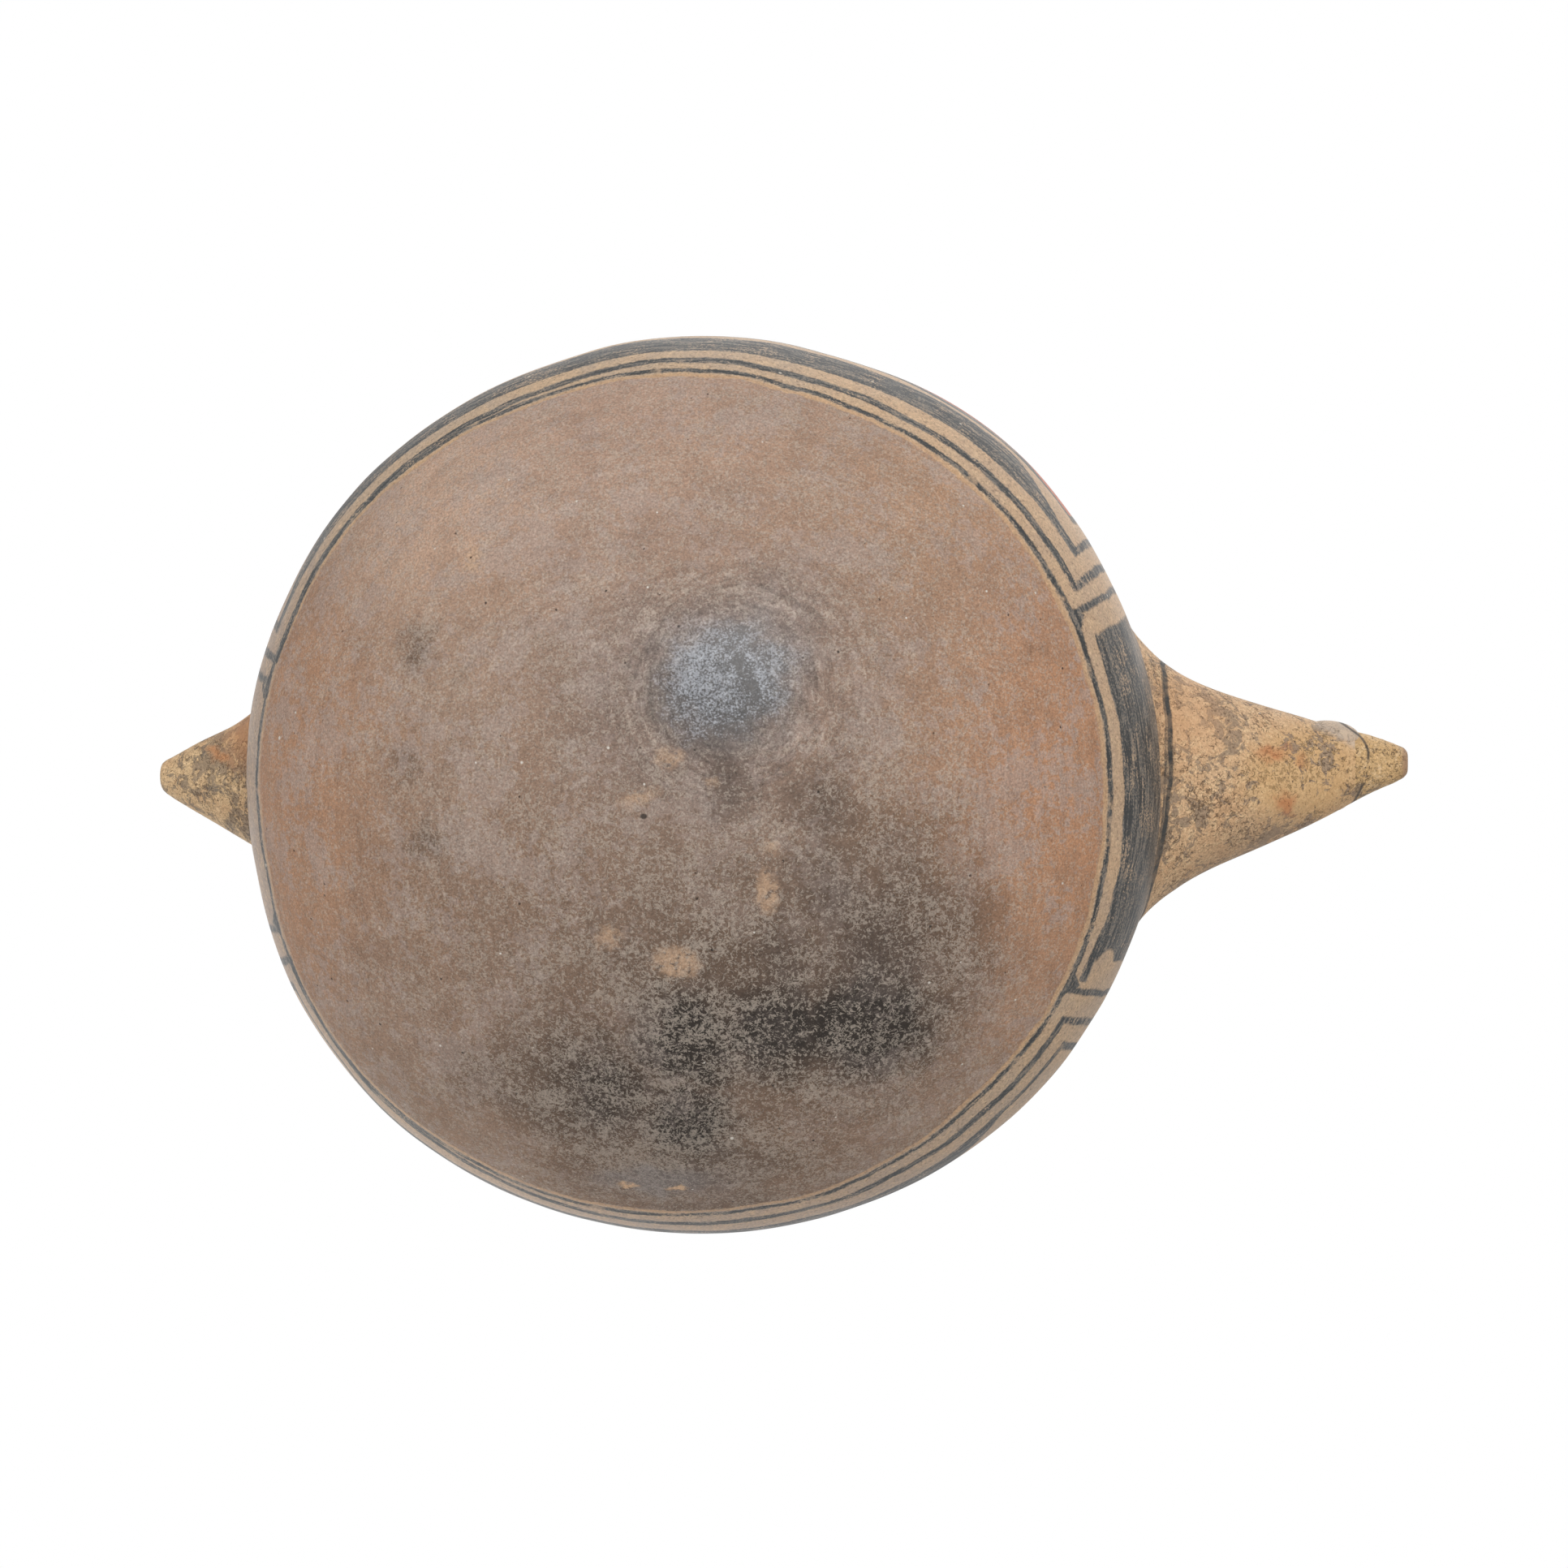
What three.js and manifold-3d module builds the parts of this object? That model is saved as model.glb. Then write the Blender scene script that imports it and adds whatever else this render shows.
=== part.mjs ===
// Effigy bowl: a round-bottomed, hand-built clay bowl shaped as a bird.
// Millimetres, +Z up, +X towards the bird's head, +Y to the bird's left.
// The origin is the middle of the small worn flat that the bowl rests on.
//
// The potter pressed a base in a shallow mould and built the wall on it from flattened coils.
// Each coil sits with a hollowed underside on the pinched crown of the one below.
// A hollow head is luted over a hole cut in the wall, and a solid beak closes its front.
// Two clay pellets are pressed on for eyes, and a solid stub is the tail.

import * as THREE from "three";
import { mergeVertices } from "three/addons/utils/BufferGeometryUtils.js";
import Module from "manifold-3d";

// Driving dimensions of the bowl
const bowlRadius = 82.5;          // outside, at the widest ring
const widestHeight = 56;          // of that ring above the table
const rimHeight = 90;
const lowerDepth = 56.8;          // half ellipse under the widest ring; the table cuts its last 0.8
const upperDepth = 70;            // half ellipse over the widest ring; the mouth cuts it off
const wallThickness = 5.5;
const floorThickness = 6.5;
const ovalAlongHead = 0.0094;     // the hand-built plan is this much longer towards head and tail
const ovalSkew = -0.0034;         // and its long axis is turned a little
const coilTops = [22, 38, 54, 70, 83];   // heights on the outside where one member ends
const crownHeight = 1.4;          // of the pinched edge that the next coil sits on

// Driving dimensions of the head and the beak
const headTipX = 128;             // the blunt end of the beak, from the bowl's axis
const headBaseX = 78.4;           // where the head's flare feathers out on the wall
const beakSeatX = 118;            // the beak's flat seat on the front of the head
const beakTipWidth = 5.2;
const headTaper = 0.76;           // width lost for each mm towards the tip
const headFlare = 10;             // extra width of the luted flare, 80 mm from the axis
const flareStart = 80;
const flareFade = 6.8;            // the flare dies out over this length
const headRootZ = 67.5;           // height of the head's middle at the wall
const headRootFlatness = 0.68;    // height of the head's section over its width there
const headFlatness = 1.04;        // and along the head
const crownX = 108;               // where the crown of the head stands highest
const crownRise = 0.42;           // extra height of its upper half, over its width
const crownLength = 9;
const headLift = 18;              // how much higher the beak points
const headCrook = -2;             // the beak is bent this much to the bird's right
const leanLength = 22;            // of the stretch that leans back with the wall
const headWall = 5;
const throatRadius = 10;          // hole through the wall into the hollow head
const hollowEndX = 111;

// Driving dimensions of the eyes and the tail
const eyeRadius = 5;
const eyeProud = 1.3;             // out of the cheek
const eyeThickness = 0.72;        // of the pellet, over its width
const eyeX = 113;
const leftEyeTurn = 40;           // degrees up from the widest line of the cheek
const rightEyeTurn = 10;          // lower than the left one, because the head is twisted
const tailTipX = -103;
const tailTipWidth = 5.2;
const tailTaper = 1.12;
const tailRootX = -72;
const tailFlare = 4;              // extra width of the luted flare at the wall
const tailFlareFade = 2.5;
const tailRootZ = 67;
const tailLift = 6;
const tailFlatness = 0.8;         // height of the tail's section over its width

const seatGap = 0.3;              // left between a luted piece and the surface it sits on
const roundSteps = 64;            // facets round the bowl
const headSteps = 28;             // facets round the head and the tail

const wasm = await Module();
wasm.setup();

const effigyBowl = new THREE.Group();

// The wall's section: one angle names a point on the outside and its partner on the inside.
function outsidePoint(angle) {
  const depth = angle < 0 ? lowerDepth : upperDepth;
  return new THREE.Vector2(bowlRadius * Math.cos(angle), widestHeight + depth * Math.sin(angle));
}

function insidePoint(angle) {
  const depth = angle < 0 ? widestHeight - floorThickness : upperDepth - 1;
  const radius = bowlRadius - wallThickness;
  return new THREE.Vector2(radius * Math.cos(angle), widestHeight + depth * Math.sin(angle));
}

function wallAngle(height) {
  const depth = height < widestHeight ? lowerDepth : upperDepth;
  return Math.asin((height - widestHeight) / depth);
}

function between(start, end, steps) {
  return Array.from({ length: steps + 1 }, (unused, i) => start + (end - start) * i / steps);
}

// The crowned edge between two members, from the outside of the wall to the inside.
function crownedEdge(angle) {
  const outside = outsidePoint(angle);
  const inside = insidePoint(angle);
  const crown = outside.clone().add(inside).multiplyScalar(0.5);
  const across = inside.clone().sub(outside).normalize();
  crown.x += across.y * crownHeight;
  crown.y -= across.x * crownHeight;
  return [outside, crown, inside];
}

// The plan of a hand-built bowl is never quite round: every radius follows this oval.
function ovalFactor(turn) {
  return 1 + ovalAlongHead * Math.cos(2 * turn) + ovalSkew * Math.sin(2 * turn);
}

function moveEachPoint(geometry, move) {
  const place = geometry.attributes.position;
  const point = new THREE.Vector3();
  for (let i = 0; i < place.count; i += 1) {
    point.fromBufferAttribute(place, i);
    move(point);
    place.setXYZ(i, point.x, point.y, point.z);
  }
  geometry.computeVertexNormals();
  return geometry;
}

function turnRoundBowl(section) {
  const geometry = new THREE.LatheGeometry(section, roundSteps);
  geometry.rotateX(Math.PI / 2);
  return moveEachPoint(geometry, (point) => {
    const factor = ovalFactor(Math.atan2(point.y, point.x));
    point.x *= factor;
    point.y *= factor;
  });
}

// A closed mesh with shared corners, as the solid that can be joined and cut.
function toSolid(geometry) {
  const bare = geometry.clone();
  bare.deleteAttribute("normal");
  bare.deleteAttribute("uv");
  const merged = mergeVertices(bare, 1e-3);
  const corners = merged.index.array;
  const kept = [];
  for (let i = 0; i < corners.length; i += 3) {
    const [a, b, c] = [corners[i], corners[i + 1], corners[i + 2]];
    if (a !== b && b !== c && c !== a) kept.push(a, b, c);
  }
  return new wasm.Manifold(new wasm.Mesh({
    numProp: 3,
    vertProperties: new Float32Array(merged.attributes.position.array),
    triVerts: new Uint32Array(kept),
  }));
}

function toGeometry(solid) {
  const mesh = solid.getMesh();
  const geometry = new THREE.BufferGeometry();
  geometry.setAttribute("position", new THREE.BufferAttribute(mesh.vertProperties, 3));
  geometry.setIndex(new THREE.BufferAttribute(mesh.triVerts, 1));
  geometry.computeVertexNormals();
  return geometry;
}

function addPart(name, geometry, colour, roughness) {
  const material = new THREE.MeshStandardMaterial({ color: colour, roughness, metalness: 0 });
  const part = new THREE.Mesh(geometry, material);
  part.name = name;
  effigyBowl.add(part);
}

const brownClay = 0x9c8573;
const buffSlip = 0xa8957f;
const blackPaint = 0x5c5a57;
const ochreClay = 0xb8925f;
const tailClay = 0xa88a6c;

// The base: pressed in a shallow mould, flat where it rests, crowned where the wall starts
const restRadius = outsidePoint(wallAngle(0)).x;

function makeBase() {
  const edgeAngle = wallAngle(coilTops[0]);
  const outside = between(wallAngle(0), edgeAngle, 6).map(outsidePoint);
  const inside = between(edgeAngle, -Math.PI / 2, 6).map(insidePoint);
  inside[inside.length - 1].x = 0;
  const section = [new THREE.Vector2(0, 0), ...outside, crownedEdge(edgeAngle)[1], ...inside];
  return turnRoundBowl(section);
}

// One coil of the wall: its underside is hollowed to the crown below, its top is crowned again
function makeCoil(bottom, top) {
  const [low, high] = [wallAngle(bottom), wallAngle(top)];
  const outside = between(low, high, 3).map(outsidePoint);
  const inside = between(high, low, 3).map(insidePoint);
  const section = [...outside, crownedEdge(high)[1], ...inside, crownedEdge(low)[1], outside[0]];
  return turnRoundBowl(section);
}

// The last coil is thinned by the fingers to a rounded lip
const lipAngle = wallAngle(rimHeight - wallThickness / 2);

function makeRim(bottom) {
  const low = wallAngle(bottom);
  const lipOutside = outsidePoint(lipAngle);
  const lipInside = insidePoint(lipAngle);
  const lipMiddle = lipOutside.clone().add(lipInside).multiplyScalar(0.5);
  const lipRadius = lipOutside.distanceTo(lipInside) / 2;
  const lip = between(0, Math.PI, 6).slice(1, -1).map((turn) => new THREE.Vector2(
    lipMiddle.x + lipRadius * Math.cos(turn),
    lipMiddle.y + lipRadius * Math.sin(turn),
  ));
  const outside = between(low, lipAngle, 2).map(outsidePoint);
  const inside = between(lipAngle, low, 2).map(insidePoint);
  return turnRoundBowl([...outside, ...lip, ...inside, crownedEdge(low)[1], outside[0]]);
}

// The head's middle line rises and bends a little; its section is wider than high at the wall
function headFraction(x) {
  return THREE.MathUtils.clamp((x - flareStart) / (headTipX - flareStart), 0, 1);
}

function headMiddle(x) {
  const along = headFraction(x);
  const lift = headLift * THREE.MathUtils.smoothstep(along, -0.15, 1.15);
  return new THREE.Vector3(x, headCrook * along * along, headRootZ + lift);
}

function headWidth(x) {
  const flare = headFlare * Math.exp((flareStart - Math.max(x, headBaseX)) / flareFade);
  return beakTipWidth + headTaper * (headTipX - Math.max(x, headBaseX)) + flare;
}

// Height of the section over its width: low at the wall, with a raised crown over the eyes
function sectionHeight(x, upper) {
  const along = THREE.MathUtils.smoothstep(headFraction(x), 0, 0.6);
  const crown = crownRise * Math.exp(-(((x - crownX) / crownLength) ** 2));
  return THREE.MathUtils.lerp(headRootFlatness, headFlatness, along) + (upper ? crown : 0);
}

// Near the rim the wall leans in, and the flare of the head leans back with it
function leanBack(x, height) {
  const lean = bowlRadius - outsidePoint(wallAngle(Math.min(height, rimHeight))).x;
  return lean * (1 - THREE.MathUtils.smoothstep(x, flareStart, flareStart + leanLength));
}

// A body turned about its length, then given the head's section and laid on its middle line
function turnAlongHead(section, steps) {
  const geometry = new THREE.LatheGeometry(section, steps);
  geometry.rotateZ(-Math.PI / 2);
  return moveEachPoint(geometry, (point) => {
    const middle = headMiddle(point.x);
    point.y += middle.y;
    point.z = middle.z + point.z * sectionHeight(point.x, point.z > 0);
    point.x -= leanBack(point.x, point.z);
  });
}

function headSection(stations, thinned) {
  const skin = stations.map((x) => new THREE.Vector2(headWidth(x) / 2 - thinned, x));
  const ends = [stations[0], stations[stations.length - 1]];
  return [new THREE.Vector2(0, ends[0]), ...skin, new THREE.Vector2(0, ends[1])];
}

// The bowl's outside grown by the seat gap, which cuts every piece that is luted on it
function makeBowlCutter(gap) {
  const outside = between(wallAngle(0), lipAngle, 20).map(outsidePoint);
  outside.forEach((point) => { point.x += gap; });
  const shoulder = new THREE.Vector2(outside[outside.length - 1].x, rimHeight + gap);
  const top = new THREE.Vector2(0, shoulder.y);
  return toSolid(turnRoundBowl([new THREE.Vector2(0, 0), ...outside, shoulder, top]));
}

const bowlCutter = makeBowlCutter(seatGap);

function makeHeadShell() {
  const skinStations = [70, headBaseX, 79.6, 81, 83, 86, 90, 96, 103, 110, beakSeatX];
  const hollowStations = [66, 80, 83, 87, 92, 98, 104, 108, hollowEndX];
  const skin = toSolid(turnAlongHead(headSection(skinStations, 0), headSteps));
  const hollow = toSolid(turnAlongHead(headSection(hollowStations, headWall), 20));
  return toGeometry(skin.subtract(hollow).subtract(bowlCutter));
}

function makeBeak() {
  const stations = [beakSeatX, 120.5, 123, 125.5, 127.2];
  const section = headSection(stations, 0);
  const bluntEnd = new THREE.Vector2(headWidth(headTipX) / 2 - 0.7, headTipX);
  section.splice(-1, 1, bluntEnd, new THREE.Vector2(0, headTipX));
  return turnAlongHead(section, headSteps);
}

// A flattened clay pellet, square to the cheek and seated on it with the same gap
function makeEye(side, degrees) {
  const turn = THREE.MathUtils.degToRad(degrees);
  const rise = sectionHeight(eyeX, true);
  const cheek = new THREE.Vector2(Math.cos(turn), rise * Math.sin(turn));
  const outwards = new THREE.Vector2(rise * Math.cos(turn), Math.sin(turn)).normalize();
  cheek.multiplyScalar(headWidth(eyeX) / 2).addScaledVector(outwards, eyeProud - eyeThickness * eyeRadius);
  const middle = headMiddle(eyeX);
  const pellet = new THREE.SphereGeometry(eyeRadius, 18, 12);
  pellet.scale(1, eyeThickness, 1);
  pellet.rotateX(side * outwards.angle());
  pellet.translate(eyeX, middle.y + side * cheek.x, middle.z + cheek.y);
  const grown = headSection([96, 103, 110, beakSeatX, 122], -seatGap);
  const seat = toSolid(turnAlongHead(grown, headSteps));
  return toGeometry(toSolid(pellet).subtract(seat));
}

// The hole from the bowl into the head, bored straight through the wall
function makeThroat() {
  const bore = new THREE.CylinderGeometry(throatRadius, throatRadius, 40, 24);
  bore.rotateZ(Math.PI / 2);
  bore.translate(bowlRadius, 0, headRootZ);
  return toSolid(bore);
}

const throat = makeThroat();

function tailWidth(x) {
  const flare = tailFlare * Math.exp((-flareStart - x) / -tailFlareFade);
  return tailTipWidth + tailTaper * (x - tailTipX) + Math.min(flare, 2 * tailFlare);
}

function makeTail() {
  const stations = [tailTipX + 0.8, -100, -95, -90, -86, -83, -80.5, -78.5, tailRootX];
  const skin = stations.map((x) => new THREE.Vector2(tailWidth(x) / 2, x));
  const bluntEnd = new THREE.Vector2(tailTipWidth / 2 - 0.7, tailTipX);
  const section = [new THREE.Vector2(0, tailTipX), bluntEnd, ...skin, new THREE.Vector2(0, tailRootX)];
  const geometry = new THREE.LatheGeometry(section, headSteps);
  geometry.rotateZ(-Math.PI / 2);
  moveEachPoint(geometry, (point) => {
    const along = (tailRootX - point.x) / (tailRootX - tailTipX);
    point.z = tailRootZ + tailLift * along + point.z * tailFlatness;
  });
  return toGeometry(toSolid(geometry).subtract(bowlCutter));
}

addPart("base_pat", makeBase(), brownClay, 0.55);
coilTops.slice(0, -1).forEach((bottom, i) => {
  const top = coilTops[i + 1];
  const coil = makeCoil(bottom, top);
  const meetsThroat = top > headRootZ - throatRadius;
  const geometry = meetsThroat ? toGeometry(toSolid(coil).subtract(throat)) : coil;
  addPart(`wall_coil_${i + 1}`, geometry, i === 0 ? brownClay : buffSlip, 0.5);
});
addPart("rim_coil", makeRim(coilTops[coilTops.length - 1]), blackPaint, 0.5);
addPart("head_shell", makeHeadShell(), buffSlip, 0.6);
addPart("beak", makeBeak(), ochreClay, 0.6);
addPart("left_eye", makeEye(1, leftEyeTurn), buffSlip, 0.6);
addPart("right_eye", makeEye(-1, rightEyeTurn), buffSlip, 0.6);
addPart("tail", makeTail(), tailClay, 0.6);

console.log(`resting flat ${(2 * restRadius).toFixed(1)} mm across`);

export default effigyBowl;
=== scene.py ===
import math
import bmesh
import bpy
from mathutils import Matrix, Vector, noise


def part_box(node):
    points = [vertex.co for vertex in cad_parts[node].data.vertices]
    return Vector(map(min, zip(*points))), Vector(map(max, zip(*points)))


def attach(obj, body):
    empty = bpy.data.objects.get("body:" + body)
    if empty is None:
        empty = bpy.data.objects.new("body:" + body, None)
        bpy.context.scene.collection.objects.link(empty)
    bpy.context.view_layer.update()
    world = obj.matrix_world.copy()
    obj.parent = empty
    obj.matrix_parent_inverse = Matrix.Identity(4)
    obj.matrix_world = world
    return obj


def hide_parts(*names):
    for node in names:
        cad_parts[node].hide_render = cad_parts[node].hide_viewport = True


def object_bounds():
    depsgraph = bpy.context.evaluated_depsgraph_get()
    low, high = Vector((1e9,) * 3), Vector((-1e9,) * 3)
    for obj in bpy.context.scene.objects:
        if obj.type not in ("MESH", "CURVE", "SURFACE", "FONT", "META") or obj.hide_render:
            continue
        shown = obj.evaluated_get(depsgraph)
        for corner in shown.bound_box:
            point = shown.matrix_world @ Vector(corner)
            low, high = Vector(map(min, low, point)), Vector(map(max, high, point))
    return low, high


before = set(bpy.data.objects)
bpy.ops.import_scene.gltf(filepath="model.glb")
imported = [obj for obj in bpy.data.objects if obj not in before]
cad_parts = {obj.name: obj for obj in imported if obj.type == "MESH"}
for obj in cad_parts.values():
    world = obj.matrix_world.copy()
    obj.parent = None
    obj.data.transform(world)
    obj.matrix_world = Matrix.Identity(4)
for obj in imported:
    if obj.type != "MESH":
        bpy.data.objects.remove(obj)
cad_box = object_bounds()

# %% [markdown]
# # An effigy bowl in fired clay
# The object is one hand-built bowl shaped as a bird: a round bottom, a painted band, a head with a beak
# on one side and a stub tail on the other. A potter made it from separate clay members, a moulded base,
# flattened coils, a hollow head, a beak, two eye pellets and a tail, and smoothed them into one skin.
# The frame holds each member at its size. This lesson models the smoothed skin as a whole, then cuts it
# back into the members along the same joints, so that every member is a piece of its own and the paint
# still runs over the joints without a break.

MM = 0.001
print("the frame holds", sorted(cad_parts), "between", cad_box)

# %% [markdown]
# ## The section of the wall
# The wall's outside is a quarter ellipse under the widest ring and another over it. Its inside is a
# second, smaller pair. One angle names a point on the outside and its partner on the inside, so the
# joints between the coils, which run straight through the wall, need no other measure.

# %% Section of the wall
BOWL_RADIUS = 82.5 * MM
WIDEST_HEIGHT = 56 * MM
RIM_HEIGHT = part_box("rim_coil")[1].z
LOWER_DEPTH = 56.8 * MM
UPPER_DEPTH = 70 * MM
LIP_THINNING = 1 * MM
WALL = 5.5 * MM
FLOOR_THICKNESS = 6.5 * MM
COIL_TOPS = [22 * MM, 38 * MM, 54 * MM, 70 * MM, 83 * MM]
CROWN_HEIGHT = 1.4 * MM
OVAL_ALONG_HEAD = 0.0094
OVAL_SKEW = -0.0034


def outside_point(angle):
    depth = LOWER_DEPTH if angle < 0 else UPPER_DEPTH
    return Vector((BOWL_RADIUS * math.cos(angle), 0, WIDEST_HEIGHT + depth * math.sin(angle)))


def inside_point(angle):
    depth = WIDEST_HEIGHT - FLOOR_THICKNESS if angle < 0 else UPPER_DEPTH - LIP_THINNING
    radius = BOWL_RADIUS - WALL
    return Vector((radius * math.cos(angle), 0, WIDEST_HEIGHT + depth * math.sin(angle)))


def wall_angle(height):
    depth = LOWER_DEPTH if height < WIDEST_HEIGHT else UPPER_DEPTH
    return math.asin((height - WIDEST_HEIGHT) / depth)


def between(start, end, steps):
    return [start + (end - start) * i / steps for i in range(steps + 1)]


def oval(turn):
    return 1 + OVAL_ALONG_HEAD * math.cos(2 * turn) + OVAL_SKEW * math.sin(2 * turn)


REST_ANGLE = wall_angle(0)
LIP_ANGLE = wall_angle(RIM_HEIGHT - WALL / 2)
print("radius of the resting flat:", round(outside_point(REST_ANGLE).x / MM, 1), "mm")

# %% [markdown]
# ## Turning a section round the bowl
# A bowl could be a subdivided sphere, but its wall, floor and lip are all one section carried round an
# axis, so spin is the true operator. The section is a row of vertices joined by edges. Afterwards each
# vertex is pushed out or in by the oval, because a bowl built without a wheel is never quite round.

# %% Spin a section
SPIN_STEPS = 200
PROFILE_STEPS = 80
LIP_STEPS = 12
MERGE = 0.001 * MM


def new_piece(name, bm):
    """Keep a bmesh as an object at the origin."""
    mesh = bpy.data.meshes.new(name)
    bm.to_mesh(mesh)
    bm.free()
    piece = bpy.data.objects.new(name, mesh)
    bpy.context.scene.collection.objects.link(piece)
    return piece


def spin_section(name, points, closed):
    """Carry a section round the bowl's axis; a closed one joins its last point to its first."""
    bm = bmesh.new()
    corners = [bm.verts.new(p) for p in points]
    pairs = list(zip(corners, corners[1:]))
    if closed:
        pairs.append((corners[-1], corners[0]))
    edges = [bm.edges.new(pair) for pair in pairs]
    bmesh.ops.spin(bm, geom=corners + edges, cent=(0, 0, 0), axis=(0, 0, 1), angle=2 * math.pi,
                   steps=SPIN_STEPS, use_merge=True)
    bmesh.ops.remove_doubles(bm, verts=bm.verts, dist=MERGE)
    for v in bm.verts:
        factor = oval(math.atan2(v.co.y, v.co.x))
        v.co.x *= factor
        v.co.y *= factor
    bmesh.ops.recalc_face_normals(bm, faces=bm.faces)
    return new_piece(name, bm)


def lip_points(steps):
    """The rounded lip, from the outside of the wall over to the inside."""
    outside, inside = outside_point(LIP_ANGLE), inside_point(LIP_ANGLE)
    middle = (outside + inside) / 2
    radius = (outside - inside).length / 2
    turns = between(0, math.pi, steps)[1:-1]
    return [middle + Vector((radius * math.cos(t), 0, radius * math.sin(t))) for t in turns]


outer_line = [outside_point(a) for a in between(REST_ANGLE, LIP_ANGLE, PROFILE_STEPS)]
inner_line = [inside_point(a) for a in between(LIP_ANGLE, -math.pi / 2, PROFILE_STEPS)]
inner_line[-1].x = 0
bowl_line = [Vector((0, 0, 0)), *outer_line, *lip_points(LIP_STEPS), *inner_line]
plain_bowl = spin_section("plain_bowl", bowl_line, False)
print("plain bowl:", len(plain_bowl.data.polygons), "faces")

# %% [markdown]
# ## A tube from station to station
# The head and the tail are tapering bodies whose section changes along their length. A cone would be
# too stiff for that, and a sculpted lump would not be repeatable. A loft says exactly what the hands
# do: one ring of vertices is extruded from station to station as a plain tube, both ends are closed,
# and then every vertex is placed by a formula for the width, the height and the middle line.

# %% Loft from station to station
RING_SIDES = 72


def smoothstep(value, low, high):
    t = min(max((value - low) / (high - low), 0), 1)
    return t * t * (3 - 2 * t)


def hump(value, middle, length):
    """1 at the middle, falling off softly to both sides."""
    return math.exp(-((value - middle) / length) ** 2)


def loft(name, stations, place):
    """Extrude one ring over the stations, close both ends, then place each vertex."""
    bm = bmesh.new()
    ring = bmesh.ops.create_circle(bm, cap_ends=False, radius=1, segments=RING_SIDES)["verts"]
    edges = list({e for v in ring for e in v.link_edges})
    for i in range(1, len(stations)):
        made = bmesh.ops.extrude_edge_only(bm, edges=edges)["geom"]
        ring = [g for g in made if isinstance(g, bmesh.types.BMVert)]
        edges = [g for g in made if isinstance(g, bmesh.types.BMEdge)]
        bmesh.ops.translate(bm, verts=ring, vec=(0, 0, 1))
    bmesh.ops.holes_fill(bm, edges=bm.edges, sides=0)
    for v in bm.verts:
        v.co = place(v.co.x, v.co.y, stations[round(v.co.z)])
    bmesh.ops.triangulate(bm, faces=bm.faces)
    bmesh.ops.recalc_face_normals(bm, faces=bm.faces)
    return new_piece(name, bm)


print("each ring of a loft has", RING_SIDES, "vertices")

# %% [markdown]
# ## Drawing out the head
# The potter drew the hollow head out of one lump: low and wide where it is luted on the wall, narrow at
# the beak, with a raised crown over the eyes and a slight bend. The fingers left one cheek a little
# fuller and the other one pinched, and the foot of the head fuller on one side. The hollow is the same
# loft, thinned by the thickness of the head's wall.

# %% Shape of the head
HEAD_TIP_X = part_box("beak")[1].x
BEAK_SEAT_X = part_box("beak")[0].x
HEAD_START_X = 70 * MM
HEAD_BASE_X = 78.4 * MM
BEAK_TIP_WIDTH = 5.2 * MM
TIP_BAND = 0.1 * MM
TIP_BLUNT = 0.3 * MM
TIP_STEPS = (0.5 * MM, 1.2 * MM)
HEAD_STEPS, HOLLOW_STEPS, TAIL_STEPS = 60, 40, 40
HEAD_TAPER = 0.76
HEAD_FLARE = 10 * MM
FLARE_START = 80 * MM
FLARE_FADE = 6.8 * MM
HEAD_ROOT_Z = 67.5 * MM
HEAD_ROOT_FLATNESS = 0.68
HEAD_FLATNESS = 1.04
FULL_HEIGHT_AT = 0.6
CROWN_X = 108 * MM
CROWN_RISE = 0.375
CROWN_LENGTH = 9 * MM
HEAD_LIFT = 18 * MM
LIFT_ENDS = (-0.15, 1.15)
HEAD_CROOK = -2 * MM
LEAN_LENGTH = 22 * MM
CHEEK_SWELL = 0.5 * MM
CHEEK_PINCH = 0.6 * MM
CHEEK_X = 120.5 * MM
CHEEK_LENGTH = 5 * MM
ROOT_SWELL = 1.1 * MM
ROOT_X = 80 * MM
ROOT_LENGTH = 5.5 * MM


def head_fraction(x):
    return min(max((x - FLARE_START) / (HEAD_TIP_X - FLARE_START), 0), 1)


def head_middle(x):
    along = head_fraction(x)
    lift = HEAD_LIFT * smoothstep(along, *LIFT_ENDS)
    return Vector((x, HEAD_CROOK * along ** 2, HEAD_ROOT_Z + lift))


def head_width(x):
    x = max(x, HEAD_BASE_X)
    flare = HEAD_FLARE * math.exp((FLARE_START - x) / FLARE_FADE)
    return BEAK_TIP_WIDTH + HEAD_TAPER * (HEAD_TIP_X - x) + flare


def section_height(x, upper):
    """How high the section is for its width; its upper half also has the crown."""
    flatter = (HEAD_FLATNESS - HEAD_ROOT_FLATNESS) * smoothstep(head_fraction(x), 0, FULL_HEIGHT_AT)
    crown = CROWN_RISE * hump(x, CROWN_X, CROWN_LENGTH)
    return HEAD_ROOT_FLATNESS + flatter + (crown if upper else 0)


def lean_back(x, height):
    """Near the rim the foot of the head leans in with the wall."""
    lean = BOWL_RADIUS - outside_point(wall_angle(min(height, RIM_HEIGHT))).x
    return lean * (1 - smoothstep(x, FLARE_START, FLARE_START + LEAN_LENGTH))


def head_place(thinned, blunt=0.0):
    """A function that places a unit ring's point (u, v) at station x on the head."""
    def place(u, v, x):
        half = head_width(x) / 2 - thinned
        if x > HEAD_TIP_X - TIP_BAND:
            half -= blunt
        middle = head_middle(x)
        height = middle.z + v * half * section_height(x, v > 0)
        cheek = hump(x, CHEEK_X, CHEEK_LENGTH)
        swell = CHEEK_SWELL * cheek + ROOT_SWELL * hump(x, ROOT_X, ROOT_LENGTH)
        aside = u * half - swell * max(-u, 0) - CHEEK_PINCH * cheek * max(u, 0)
        return Vector((x - lean_back(x, height), middle.y + aside, height))
    return place


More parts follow.
